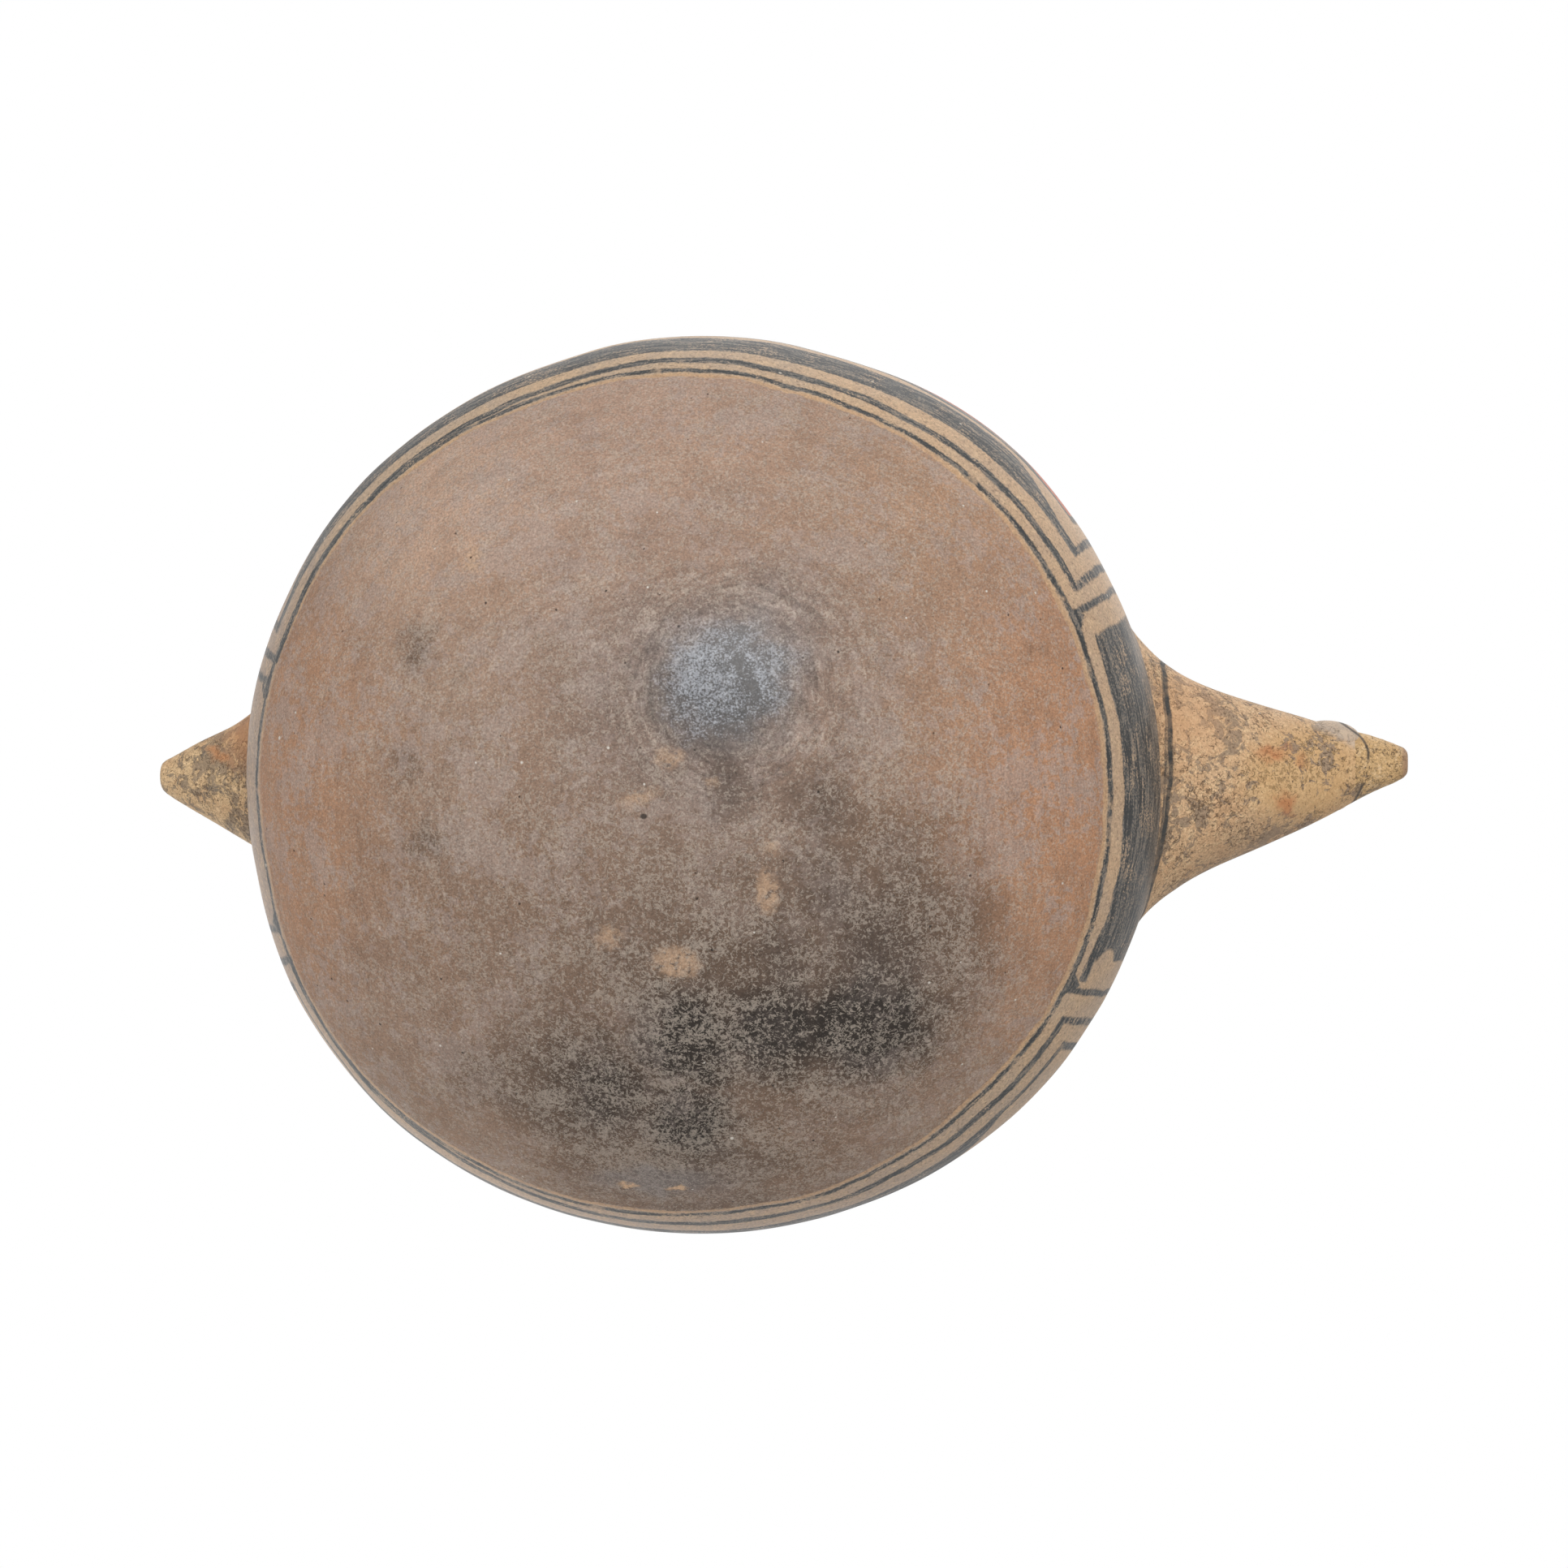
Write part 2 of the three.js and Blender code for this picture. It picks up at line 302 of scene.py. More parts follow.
head_stations = between(HEAD_START_X, HEAD_TIP_X - TIP_STEPS[1], HEAD_STEPS)
head_stations += [HEAD_TIP_X - TIP_STEPS[0], HEAD_TIP_X]
head_lump = loft("head_lump", head_stations, head_place(0, TIP_BLUNT))
print("head lump:", len(head_lump.data.vertices), "vertices")

# %% Hollow of the head
HEAD_WALL = 5 * MM
HOLLOW_START_X = 66 * MM
HOLLOW_END_X = 111 * MM

hollow_stations = between(HOLLOW_START_X, HOLLOW_END_X, HOLLOW_STEPS)
head_hollow = loft("head_hollow", hollow_stations, head_place(HEAD_WALL))
print("hollow of the head:", len(head_hollow.data.vertices), "vertices")

# %% [markdown]
# ## The tail and the throat
# The tail is a solid cone with a blunt end, a little lower than wide and pinched on one side by the
# hand. The throat is the hole that was cut through the wall before the head went on, so that the thick
# head could dry and fire without bursting. The tail is another loft, and the hole a loft of two
# stations.

# %% Tail and throat
TAIL_TIP_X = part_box("tail")[0].x
TAIL_TIP_WIDTH = 5.2 * MM
TAIL_TAPER = 1.12
TAIL_FLARE = 4 * MM
TAIL_FLARE_FADE = 2.5 * MM
TAIL_ROOT_X = -72 * MM
TAIL_ROOT_Z = 67 * MM
TAIL_LIFT = 6 * MM
TAIL_FLATNESS = 0.8
TAIL_PINCH = 0.9 * MM
TAIL_PINCH_X = -88 * MM
TAIL_PINCH_LENGTH = 6 * MM
THROAT_RADIUS = 10 * MM
THROAT_ENDS = [62 * MM, 88 * MM]


def tail_place(u, v, x):
    flare = min(TAIL_FLARE * math.exp((FLARE_START + x) / TAIL_FLARE_FADE), 2 * TAIL_FLARE)
    half = (TAIL_TIP_WIDTH + TAIL_TAPER * (x - TAIL_TIP_X) + flare) / 2
    if x < TAIL_TIP_X + TIP_BAND:
        half -= TIP_BLUNT
    along = (TAIL_ROOT_X - x) / (TAIL_ROOT_X - TAIL_TIP_X)
    pinch = TAIL_PINCH * hump(x, TAIL_PINCH_X, TAIL_PINCH_LENGTH)
    height = TAIL_ROOT_Z + TAIL_LIFT * along + v * half * TAIL_FLATNESS
    return Vector((x, u * half + pinch * max(-u, 0), height))


def throat_place(u, v, x):
    return Vector((x, u * THROAT_RADIUS, HEAD_ROOT_Z + v * THROAT_RADIUS))


tail_stations = [TAIL_TIP_X, TAIL_TIP_X + TIP_STEPS[0]]
tail_stations += between(TAIL_TIP_X + TIP_STEPS[1], TAIL_ROOT_X, TAIL_STEPS)
tail_lump = loft("tail_lump", tail_stations, tail_place)
throat = loft("throat", THROAT_ENDS, throat_place)
print("tail lump:", len(tail_lump.data.vertices), "vertices")

# %% [markdown]
# ## The eye pellets
# Each eye was rolled in the hand and pressed on the cheek, so it is a flattened ball that is sunk in it.
# The head is a little twisted: the bird's right eye sits lower than the left one, and it was pressed
# broader. A key of 1 is the left side and -1 the right.

# %% Eye pellets
EYE_PROUD = 0.8 * MM
EYE_HEIGHT = 3.6 * MM
EYE_RADII = {1: 5 * MM, -1: 6.2 * MM}
EYE_X = 113 * MM
EYE_TURNS = {1: 42, -1: 10}
EYE_BACK_FLATNESS = 0.5
EYE_SUBDIVISIONS = 4


def make_pellet(name, side):
    """A flattened ball, square to the cheek."""
    turn = math.radians(EYE_TURNS[side])
    rise = section_height(EYE_X, True)
    cheek = Vector((0, side * math.cos(turn), rise * math.sin(turn))) * head_width(EYE_X) / 2
    outwards = Vector((0, side * rise * math.cos(turn), math.sin(turn))).normalized()
    bm = bmesh.new()
    radius = EYE_RADII[side]
    bmesh.ops.create_icosphere(bm, subdivisions=EYE_SUBDIVISIONS, radius=radius)
    bmesh.ops.scale(bm, vec=(1, 1, EYE_HEIGHT / radius), verts=bm.verts)
    back = [v for v in bm.verts if v.co.z < 0]
    bmesh.ops.scale(bm, vec=(1, 1, EYE_BACK_FLATNESS), verts=back)
    bmesh.ops.transform(bm, matrix=outwards.to_track_quat("Z", "X").to_matrix(), verts=bm.verts)
    place = head_middle(EYE_X) + cheek + outwards * (EYE_PROUD - EYE_HEIGHT)
    bmesh.ops.translate(bm, vec=place, verts=bm.verts)
    return new_piece(name, bm)


pellets = {"left_eye": make_pellet("left_pellet", 1), "right_eye": make_pellet("right_pellet", -1)}
print("pellets:", {name: len(pellet.data.vertices) for name, pellet in pellets.items()})

# %% [markdown]
# ## Luting the members together
# Wet clay members are scored, wetted with slip and smoothed into each other. Here the lumps are joined
# with the Boolean modifier, and a voxel remesh turns the join into one even skin. The clay that the
# potter smears over each joint is made by averaging every vertex near it with its neighbours.

# %% Join and smooth the skin
VOXEL = 0.8 * MM


def baked(name, piece):
    """The piece with its modifiers applied, as a new object."""
    graph = bpy.context.evaluated_depsgraph_get()
    mesh = bpy.data.meshes.new_from_object(piece.evaluated_get(graph))
    made = bpy.data.objects.new(name, mesh)
    bpy.context.scene.collection.objects.link(made)
    return made


def drop(*unwanted):
    for piece in unwanted:
        bpy.data.objects.remove(piece)


def carve(name, target, operation, *cutters):
    """Join target to the cutters, or cut it by them, and keep the result."""
    for cutter in cutters:
        modifier = target.modifiers.new("carve", "BOOLEAN")
        modifier.operation = operation
        modifier.solver = "MANIFOLD"
        modifier.object = cutter
    made = baked(name, target)
    target.modifiers.clear()
    return made


joined = carve("joined", plain_bowl, "UNION", head_lump, tail_lump)
hollowed = carve("hollowed", joined, "DIFFERENCE", head_hollow, throat)
remesh = hollowed.modifiers.new("skin", "REMESH")
remesh.mode = "VOXEL"
remesh.voxel_size = VOXEL
skin = baked("skin", hollowed)
print("skin:", len(skin.data.vertices), "vertices")

# %% Smear the clay over the joints
SMEAR_REACH = 5 * MM
SMEAR_DEPTH = 2 * MM
JOINT_LOW = 40 * MM
JOINT_NEAR_X = 55 * MM
JOINT_FAR_Y = 38 * MM
HEAD_PASSES, JOINT_PASSES, SKIN_PASSES = 18, 8, 4
SMEAR_STRENGTH = 0.5


def outside_distance(co):
    """How far a point stands out of the wall's outside, measured level."""
    radius = math.hypot(co.x, co.y) / oval(math.atan2(co.y, co.x))
    height = min(max(co.z, 0), RIM_HEIGHT)
    return radius - outside_point(wall_angle(height)).x


def near_joint(co):
    if co.z < JOINT_LOW or abs(co.x) < JOINT_NEAR_X or abs(co.y) > JOINT_FAR_Y:
        return False
    return -SMEAR_DEPTH < outside_distance(co) < SMEAR_REACH


def smooth(piece):
    bm = bmesh.new()
    bm.from_mesh(piece.data)
    joint = [v for v in bm.verts if near_joint(v.co)]
    head_joint = [v for v in joint if v.co.x > 0]
    for verts, passes in ((head_joint, HEAD_PASSES), (joint, JOINT_PASSES), (bm.verts, SKIN_PASSES)):
        for i in range(passes):
            bmesh.ops.smooth_vert(bm, verts=verts, factor=SMEAR_STRENGTH, use_axis_x=True,
                                  use_axis_y=True, use_axis_z=True)
    bmesh.ops.triangulate(bm, faces=bm.faces)
    bmesh.ops.recalc_face_normals(bm, faces=bm.faces)
    bm.to_mesh(piece.data)
    bm.free()
    return len(joint)


print("vertices smoothed near the joints:", smooth(skin))
drop(plain_bowl, joined, hollowed, head_lump, tail_lump, head_hollow, throat)

# %% [markdown]
# ## Cutting the skin back into its members
# The coils seat on each other with a pinched crown under a hollowed underside, as on the bench. A spun
# block with that crowned top and underside cuts each coil out of the skin. An envelope, a quarter of a
# millimetre larger than the wall, parts the wall from what stands out of it.

# %% Blocks with crowned seats
ENVELOPE_GAP = 0.25 * MM
ENVELOPE_STEPS = 60
CUT_REACH = 4 * MM


def crowned_edge(angle):
    """The joint through the wall, from outside the skin to inside it."""
    outside, inside = outside_point(angle), inside_point(angle)
    across = (inside - outside).normalized()
    crown = (outside + inside) / 2 + Vector((across.z, 0, -across.x)) * CROWN_HEIGHT
    return [outside - across * CUT_REACH, outside, crown, inside, inside + across * CUT_REACH]


def coil_block(name, low, high):
    lower = crowned_edge(wall_angle(low))
    upper = crowned_edge(wall_angle(high))
    return spin_section(name, lower + upper[::-1], True)


def base_block(name, high):
    upper = crowned_edge(wall_angle(high))
    under = [Vector((0, 0, -CUT_REACH)), Vector((upper[0].x + CUT_REACH, 0, -CUT_REACH))]
    return spin_section(name, under + upper + [Vector((0, 0, upper[-1].z))], False)


def rim_block(name, low):
    lower = crowned_edge(wall_angle(low))
    top = RIM_HEIGHT + CUT_REACH
    over = [Vector((lower[0].x, 0, top)), Vector((lower[-1].x, 0, top))]
    return spin_section(name, lower[::-1] + over, True)


print("the joints lie at", [round(top / MM) for top in COIL_TOPS], "mm")

# %% Cut out the base, the coils and the rim
grown_line = [outside_point(a) + Vector((ENVELOPE_GAP, 0, 0))
              for a in between(REST_ANGLE, LIP_ANGLE, ENVELOPE_STEPS)]
grown_line[0].z = -CUT_REACH
top = RIM_HEIGHT + CUT_REACH
over = [Vector((grown_line[-1].x, 0, top)), Vector((0, 0, top))]
envelope = spin_section("envelope", [Vector((0, 0, -CUT_REACH)), *grown_line, *over], False)
wall_skin = carve("wall_skin", skin, "INTERSECT", envelope)
outer_skin = carve("outer_skin", skin, "DIFFERENCE", envelope)

blocks = {"base_pat": base_block("block", COIL_TOPS[0]), "rim_coil": rim_block("block", COIL_TOPS[-1])}
for i, (low, high) in enumerate(zip(COIL_TOPS, COIL_TOPS[1:]), start=1):
    blocks[f"wall_coil_{i}"] = coil_block("block", low, high)
members = {name: carve(name + "_skin", wall_skin, "INTERSECT", block) for name, block in blocks.items()}
print("members cut from the wall:", {name: len(m.data.vertices) for name, m in members.items()})

# %% [markdown]
# ## Head, beak, tail and eyes
# What stands out of the wall falls in two parts, one on each side. The tail is one piece. The head is cut
# once more by an upright plane across it, where the beak was set on as a plug of clay, and each eye
# pellet is cut to the cheek that it was pressed on, so that it meets the head in a fine crease.

# %% Cut out head, beak, tail and eyes
def cut_off(name, piece, x, keep_high):
    """The part of a closed piece on one side of a plane across the bird, closed again."""
    bm = bmesh.new()
    bm.from_mesh(piece.data)
    cut = bmesh.ops.bisect_plane(bm, geom=[*bm.verts, *bm.edges, *bm.faces], plane_co=(x, 0, 0),
                                 plane_no=(1, 0, 0), clear_outer=not keep_high, clear_inner=keep_high)
    edges = [g for g in cut["geom_cut"] if isinstance(g, bmesh.types.BMEdge)]
    if edges:
        filled = bmesh.ops.holes_fill(bm, edges=edges, sides=0)["faces"]
        bmesh.ops.triangulate(bm, faces=filled)
    bmesh.ops.recalc_face_normals(bm, faces=bm.faces)
    return new_piece(name, bm)


head_side = cut_off("head_side", outer_skin, 0, True)
members["tail"] = cut_off("tail_skin", outer_skin, 0, False)
members["beak"] = cut_off("beak_skin", head_side, BEAK_SEAT_X, True)
members["head_shell"] = cut_off("head_skin", head_side, BEAK_SEAT_X, False)
for name, pellet in pellets.items():
    members[name] = carve(name + "_skin", pellet, "DIFFERENCE", members["head_shell"])
print("members in all:", len(members))

# %% [markdown]
# ## The unevenness of hand work
# Scraping and burnishing leave a wall that is smooth but never true. The hands pushed it out or in at a
# few places round the bowl, each written as its turn in degrees, its spread and its height. On top of
# that, every vertex is moved a little by a noise that depends only on where the vertex is. Two members
# that share a border so move as one, and the border stays closed. All of it fades out where the bowl
# reaches its full size, and a small trim keeps the width inside the frame's box.

# %% Uneven, smooth and place the members
WAVE_HEIGHT = 0.45 * MM
WAVE_LENGTH = 34 * MM
DENT_HEIGHT = 0.16 * MM
DENT_LENGTH = 11 * MM
FADE_DEPTH = 3 * MM
SWELLINGS = ((-50, 15, 0.7), (-72, 9, -0.4), (-110, 11, -0.5), (-145, 15, 0.45), (132, 24, 0.65),
             (168, 10, -0.4))
SWELLING_FULL_Z = 40 * MM
WALL_ENDS = 84 * MM
OUTSIDE_WALL = 90 * MM
TRIM = 0.9993
SHARP_ANGLE = math.radians(40)
box_low, box_high = cad_box


def room(co):
    """0 where a point is at the limit of the bowl's full size, 1 where it is well inside."""
    gaps = [co[i] - box_low[i] for i in range(3)] + [box_high[i] - co[i] for i in range(3)]
    return smoothstep(min(gaps), 0, FADE_DEPTH)


def swelling(turn):
    """How far the hands pushed the wall out or in, by the turn round the bowl in degrees."""
    return sum(height * hump(turn, middle, spread) for middle, spread, height in SWELLINGS) * MM


def uneven(co):
    level = Vector((co.x, co.y, 0))
    turn = math.degrees(math.atan2(co.y, co.x))
    above_foot = smoothstep(co.z, 0, SWELLING_FULL_Z)
    on_wall = 1 - smoothstep(level.length, WALL_ENDS, OUTSIDE_WALL)
    co = co + level.normalized() * swelling(turn) * above_foot * on_wall * room(co)
    waves = noise.noise_vector(co / WAVE_LENGTH) * WAVE_HEIGHT
    dents = noise.noise_vector(co / DENT_LENGTH) * DENT_HEIGHT
    moved = co + (waves + dents) * room(co)
    moved.y *= TRIM
    moved.z = max(moved.z, box_low.z)
    return moved


def finish_member(name, member):
    bm = bmesh.new()
    bm.from_mesh(member.data)
    for v in bm.verts:
        v.co = uneven(v.co)
    for face in bm.faces:
        face.smooth = True
    for edge in bm.edges:
        edge.smooth = edge.calc_face_angle(0) < SHARP_ANGLE
    piece = new_piece(name + "_clay", bm)
    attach(piece, "root")
    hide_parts(name)
    return piece


pieces = {name: finish_member(name, member) for name, member in members.items()}
drop(*members.values(), *blocks.values(), *pellets.values())
drop(skin, envelope, wall_skin, outer_skin, head_side)
for name, piece in pieces.items():
    print(name, len(piece.data.polygons), "faces")

# %% [markdown]
# ## Which clay each member takes
# Most of the wall and the head are buff slip. Each member gets its clay once the clays are made, further
# on.

# %% [markdown]
# ## Sums on the surface
# A fired clay surface is a heap of small stories: a fire cloud here, a scrape there, paint that stops at
# a line. Each is easiest to say as arithmetic on the place of a point. A Signal is one number at every
# point, and a plain sum of signals and numbers makes the Math nodes that work it out.

# %% Signals
class Signal:
    """One number at every point of the surface, to be used in sums."""

    def __init__(self, nodes, socket):
        self.nodes = nodes
        self.socket = socket

    def __add__(self, other):
        return self.nodes.math("ADD", self, other)

    def __sub__(self, other):
        return self.nodes.math("SUBTRACT", self, other)

    def __mul__(self, other):
        return self.nodes.math("MULTIPLY", self, other)

    def __truediv__(self, other):
        return self.nodes.math("DIVIDE", self, other)

    def __radd__(self, other):
        return self.nodes.math("ADD", other, self)

    def __rsub__(self, other):
        return self.nodes.math("SUBTRACT", other, self)

    def __rmul__(self, other):
        return self.nodes.math("MULTIPLY", other, self)

    def __rtruediv__(self, other):
        return self.nodes.math("DIVIDE", other, self)

    def __abs__(self):
        return self.nodes.math("ABSOLUTE", self)

    def rise(self, low, high):
        """0 up to low, 1 from high on, smooth in between."""
        inputs = {"Value": self, "From Min": low, "From Max": high}
        return self.nodes.node("MapRange", {"interpolation_type": "SMOOTHSTEP"}, inputs)

    def fall(self, low, high):
        return 1 - self.rise(low, high)

    def either(self, other):
        return self.nodes.math("MAXIMUM", self, other)


print("a signal also has", [name for name in vars(Signal) if not name.startswith("_")])

# %% [markdown]
# ## Nodes and colours
# One method makes every node: it takes the node's type, its settings and what its sockets get. Colours are
# written as they look, from 0 to 255, and laid over one another with Mix, because a Math node would turn
# them grey. The floor and the world use the same class.

# %% Nodes
def straight(colour):
    """A colour that is written as it looks, from 0 to 255, as a shader takes it."""
    levels = [c / 255 for c in colour]
    return (*[c / 12.92 if c <= 0.04045 else ((c + 0.055) / 1.055) ** 2.4 for c in levels], 1)


class Nodes:
    """The nodes of one material or of the world."""

    def __init__(self, owner):
        owner.use_nodes = True
        self.tree = owner.node_tree

    def node(self, kind, settings, inputs, output=0):
        """Make a node, set it, feed it with signals or constants, and give back one output."""
        made = self.tree.nodes.new("ShaderNode" + kind)
        for key, value in settings.items():
            setattr(made, key, value)
        for key, value in inputs.items():
            if isinstance(value, Signal):
                self.tree.links.new(value.socket, made.inputs[key])
            else:
                made.inputs[key].default_value = value
        return Signal(self, made.outputs[output])

    def math(self, operation, *values):
        return self.node("Math", {"operation": operation}, dict(enumerate(values)))

    def mix(self, share, under, over):
        """Lay one colour over another; both are signals or written colours."""
        inputs = {0: share}
        for key, value in ((6, under), (7, over)):
            inputs[key] = value if isinstance(value, Signal) else straight(value)
        return self.node("Mix", {"data_type": "RGBA"}, inputs, 2)

    def coats(self, under, *layers):
        """Lay colours over one another in turn; a layer is its share and its colour."""
        for share, over in layers:
            under = self.mix(share, under, over)
        return under

    def show(self, surface, output):
        self.tree.links.new(surface.socket, self.tree.nodes[output].inputs["Surface"])


print("a written grey of 128 is", round(straight((128,))[0], 3), "to the shader")

# %% [markdown]
# ## The marks that clay carries
# Clay shows the same few kinds of mark over and over: soft noise in all grain sizes, scattered grains and
# pits, and oval patches whose edges wander. All of them read the place of a point on the object, in
# millimetres, so a size in the code is the size on the clay.

# %% Finishes
SPECULAR = 0.25
COAT_ROUGHNESS = 0.34


class Finish(Nodes):
    """One material of the bowl, on the place of each point in millimetres."""

    def __init__(self, name):
        self.material = bpy.data.materials.new(name)
        super().__init__(self.material)
        self.shader = self.tree.nodes["Principled BSDF"]
        self.place = self.vector_math("SCALE", self.node("TexCoord", {}, {}, "Object"), 1 / MM)
        self.x, self.y, self.z = (self.part(self.place, axis) for axis in "XYZ")

    def vector(self, x, y, z):
        return self.node("CombineXYZ", {}, {0: x, 1: y, 2: z})

    def part(self, vector, axis):
        return self.node("SeparateXYZ", {}, {0: vector}, axis)

    def vector_math(self, operation, first, second):
        key = "Scale" if operation == "SCALE" else 1
        return self.node("VectorMath", {"operation": operation}, {0: first, key: second})

    def noise(self, size, detail=2.0, roughness=0.5, distortion=0.0, place=None, shift=0.0):
        """Soft noise of a grain size in millimetres; shift picks another stretch of it."""
        moved = self.vector_math("ADD", place or self.place, (shift * 97, shift * 31, 0))
        inputs = {"Vector": moved, "Scale": 1 / size, "Detail": detail, "Roughness": roughness,
                  "Distortion": distortion}
        return self.node("TexNoise", {}, inputs)

    def dots(self, spacing, radius, share, shift=0.0):
        """Scattered round dots: one in each cell of a grid, kept in a share of the cells."""
        moved = self.vector_math("ADD", self.place, (shift * 83, shift * 47, 0))
        inputs = {"Vector": moved, "Scale": 1 / spacing}
        distance = self.node("TexVoronoi", {}, inputs, "Distance")
        pick = self.part(self.node("TexVoronoi", {}, inputs, "Color"), "X")
        near = distance.fall(0.6 * radius / spacing, radius / spacing)
        return near * self.math("LESS_THAN", pick, share)

    def wander(self, size, reach):
        """The place, moved about by up to half of reach, which gives a patch a natural edge."""
        inputs = {"Vector": self.place, "Scale": 1 / size, "Detail": 4.0}
        moved = self.vector_math("SUBTRACT", self.node("TexNoise", {}, inputs, "Color"), (0.5, 0.5, 0.5))
        return self.vector_math("ADD", self.place, self.vector_math("SCALE", moved, reach))

    def blot(self, place, middle, size, turn=0.0, edge=0.0):
        """An oval patch: 1 in its middle, 0 outside. A larger edge keeps it full further out."""
        inputs = {"Vector": place, "Location": (*middle, 0), "Rotation": (0, 0, math.radians(turn)),
                  "Scale": (*size, 1000)}
        moved = self.node("Mapping", {"vector_type": "TEXTURE"}, inputs)
        return self.node("VectorMath", {"operation": "LENGTH"}, {0: moved}, "Value").fall(edge, 1)

    def blots(self, place, patches, edge=0.0):
        """Several oval patches in one, each with its middle, size, turn and strength."""
        strongest = None
        for middle, size, turn, strength in patches:
            patch = self.blot(place, middle, size, turn, edge) * strength
            strongest = patch if strongest is None else strongest.either(patch)
        return strongest

    def from_middle(self, across, down):
        return self.math("SQRT", across * across + down * down)

    def shade(self, colour, strength):
        """A colour made darker or lighter by a factor."""
        return self.vector_math("SCALE", colour, strength)

    def complete(self, colour, roughness, relief, gloss):
        """Feed the shader; relief is the height of the fine surface in millimetres."""
        bump = self.node("Bump", {}, {"Height": relief, "Distance": MM})
        self.shader.inputs["Specular IOR Level"].default_value = SPECULAR
        self.shader.inputs["Coat Roughness"].default_value = COAT_ROUGHNESS
        fed = {"Base Color": colour, "Roughness": roughness, "Normal": bump, "Coat Weight": gloss}
        for name, signal in fed.items():
            self.tree.links.new(signal.socket, self.shader.inputs[name])
        return self.material


print("the fired clay has", len(pieces), "pieces to finish")

# %% [markdown]
# ## Strokes of the rubbing stone
# The bottom was scraped and rubbed with a pebble that ran round the bowl. The marks are noise in the
# measures of a circle, fine across the stroke and long along it. Finer ones run round the worn patch, and
# the last wipes of the hand run straight.

# %% Rubbing strokes
WORN_MIDDLE = (12, -22)
WIDE_STROKE, FINE_STROKE = 1.8, 1.1
CURVING = 3


def stroke_lines(f, middle, width):
    """Faint marks that run round a middle, and how far from it they are; width is that of a stroke."""
    across, down = f.x - middle[0], f.y - middle[1]
    reach = f.from_middle(across, down) + 0.1
    along = f.vector(reach / width, across / reach * CURVING, down / reach * CURVING)
    return reach, f.noise(1, 4, 0.62, 0.4, along, 30) - 0.5


def rubbed_strokes(f):
    reach, strokes = stroke_lines(f, (0, 0), WIDE_STROKE)
    wide = strokes * reach.rise(14, 34) * f.noise(15, 2, shift=31).rise(0.3, 0.6)
    reach, strokes = stroke_lines(f, WORN_MIDDLE, FINE_STROKE)
    return wide + strokes * reach.fall(16, 30) * 1.7


def straight_strokes(f):
    along = f.vector(f.x / 1.1, f.y / 11, f.z / 11)
    return (f.noise(1, 4, 0.62, place=along, shift=32) - 0.5) * f.y.rise(-30, 0) * f.y.fall(50, 64)


print("strokes are", WIDE_STROKE, "and", FINE_STROKE, "mm wide")

# %% [markdown]
# ## Fired in the open
# The clay is pinkish brown, orange towards the head and the tail, and dark where fuel touched it. Each
# patch is an oval, written as its middle, its size, its turn and its strength, and most have edges that
# wander. Three lighter patches on the bird's right side are painted light over the clay's own tawny and
# pink, and one broad darker patch towards its left is painted shade. They lie over one another, from the
# wide pale ones to the narrow black ones.

# %% Fire clouds
ORANGES = (((74, -6), (40, 90), 0, 1), ((-74, 0), (34, 80), 0, 0.7))
DUSK = (((16, 34), (50, 44), 0, 1), ((40, 20), (30, 38), 0, 1), ((4, 64), (48, 26), 0, 0.9),
        ((-17, 52), (30, 26), 0, 1))
STREAKS = (((11, -6), (8, 11), -10, 0.8), ((27, -2), (11, 12), -30, 0.9), ((28, 14), (11, 20), -20, 1),
           ((34, 26), (14, 18), 0, 1), ((20, 24), (8, 20), 0, 0.8), ((22, 36), (16, 14), 0, 0.7))
CLOUDS = (((34, 38), (21, 16), 0, 1), ((18, 38), (19, 14), 0, 0.85), ((3, 40), (17, 17), 0, 0.9),
          ((2, 55), (15, 13), 0, 0.85), ((-12, 48), (18, 17), 0, 0.6))
SPOTS = (((-45, -28), (6, 7), 0, 1), ((-42, 5), (5, 5), 0, 1), ((-47, -8), (5, 5), 0, 0.8),
         ((62, -27), (3, 4), 0, 0.6))
HALO = ((9, -23), (45, 36), 0, 0.15)
# The pale, tawny and pink patches on the right side and their colours are painted light; the shaded patch
# and its brown are painted shade.
LIT_PALE_PATCH, LIT_TAWNY_PATCH = ((-14, -76), (80, 60)), ((52, -58), (34, 30))
LIT_PINK_PATCH, PAINTED_SHADE_PATCH = ((-44, -54), (34, 28), -50, 0.1), ((-14, 26), (64, 66))
PINKISH, YELLOWISH, ORANGE = (160, 133, 114), (160, 129, 106), (182, 136, 104)
PAINTED_SHADE_BROWN, MOTTLED, HALO_GREY = (122, 101, 86), (130, 106, 90), (114, 102, 97)
LIT_PALE, LIT_TAWNY, LIT_PINK = (180, 149, 130), (184, 144, 114), (196, 164, 142)
DUSKY, STREAKED, SOOT, SPOTTED = (82, 68, 58), (74, 64, 58), (40, 35, 31), (80, 68, 60)


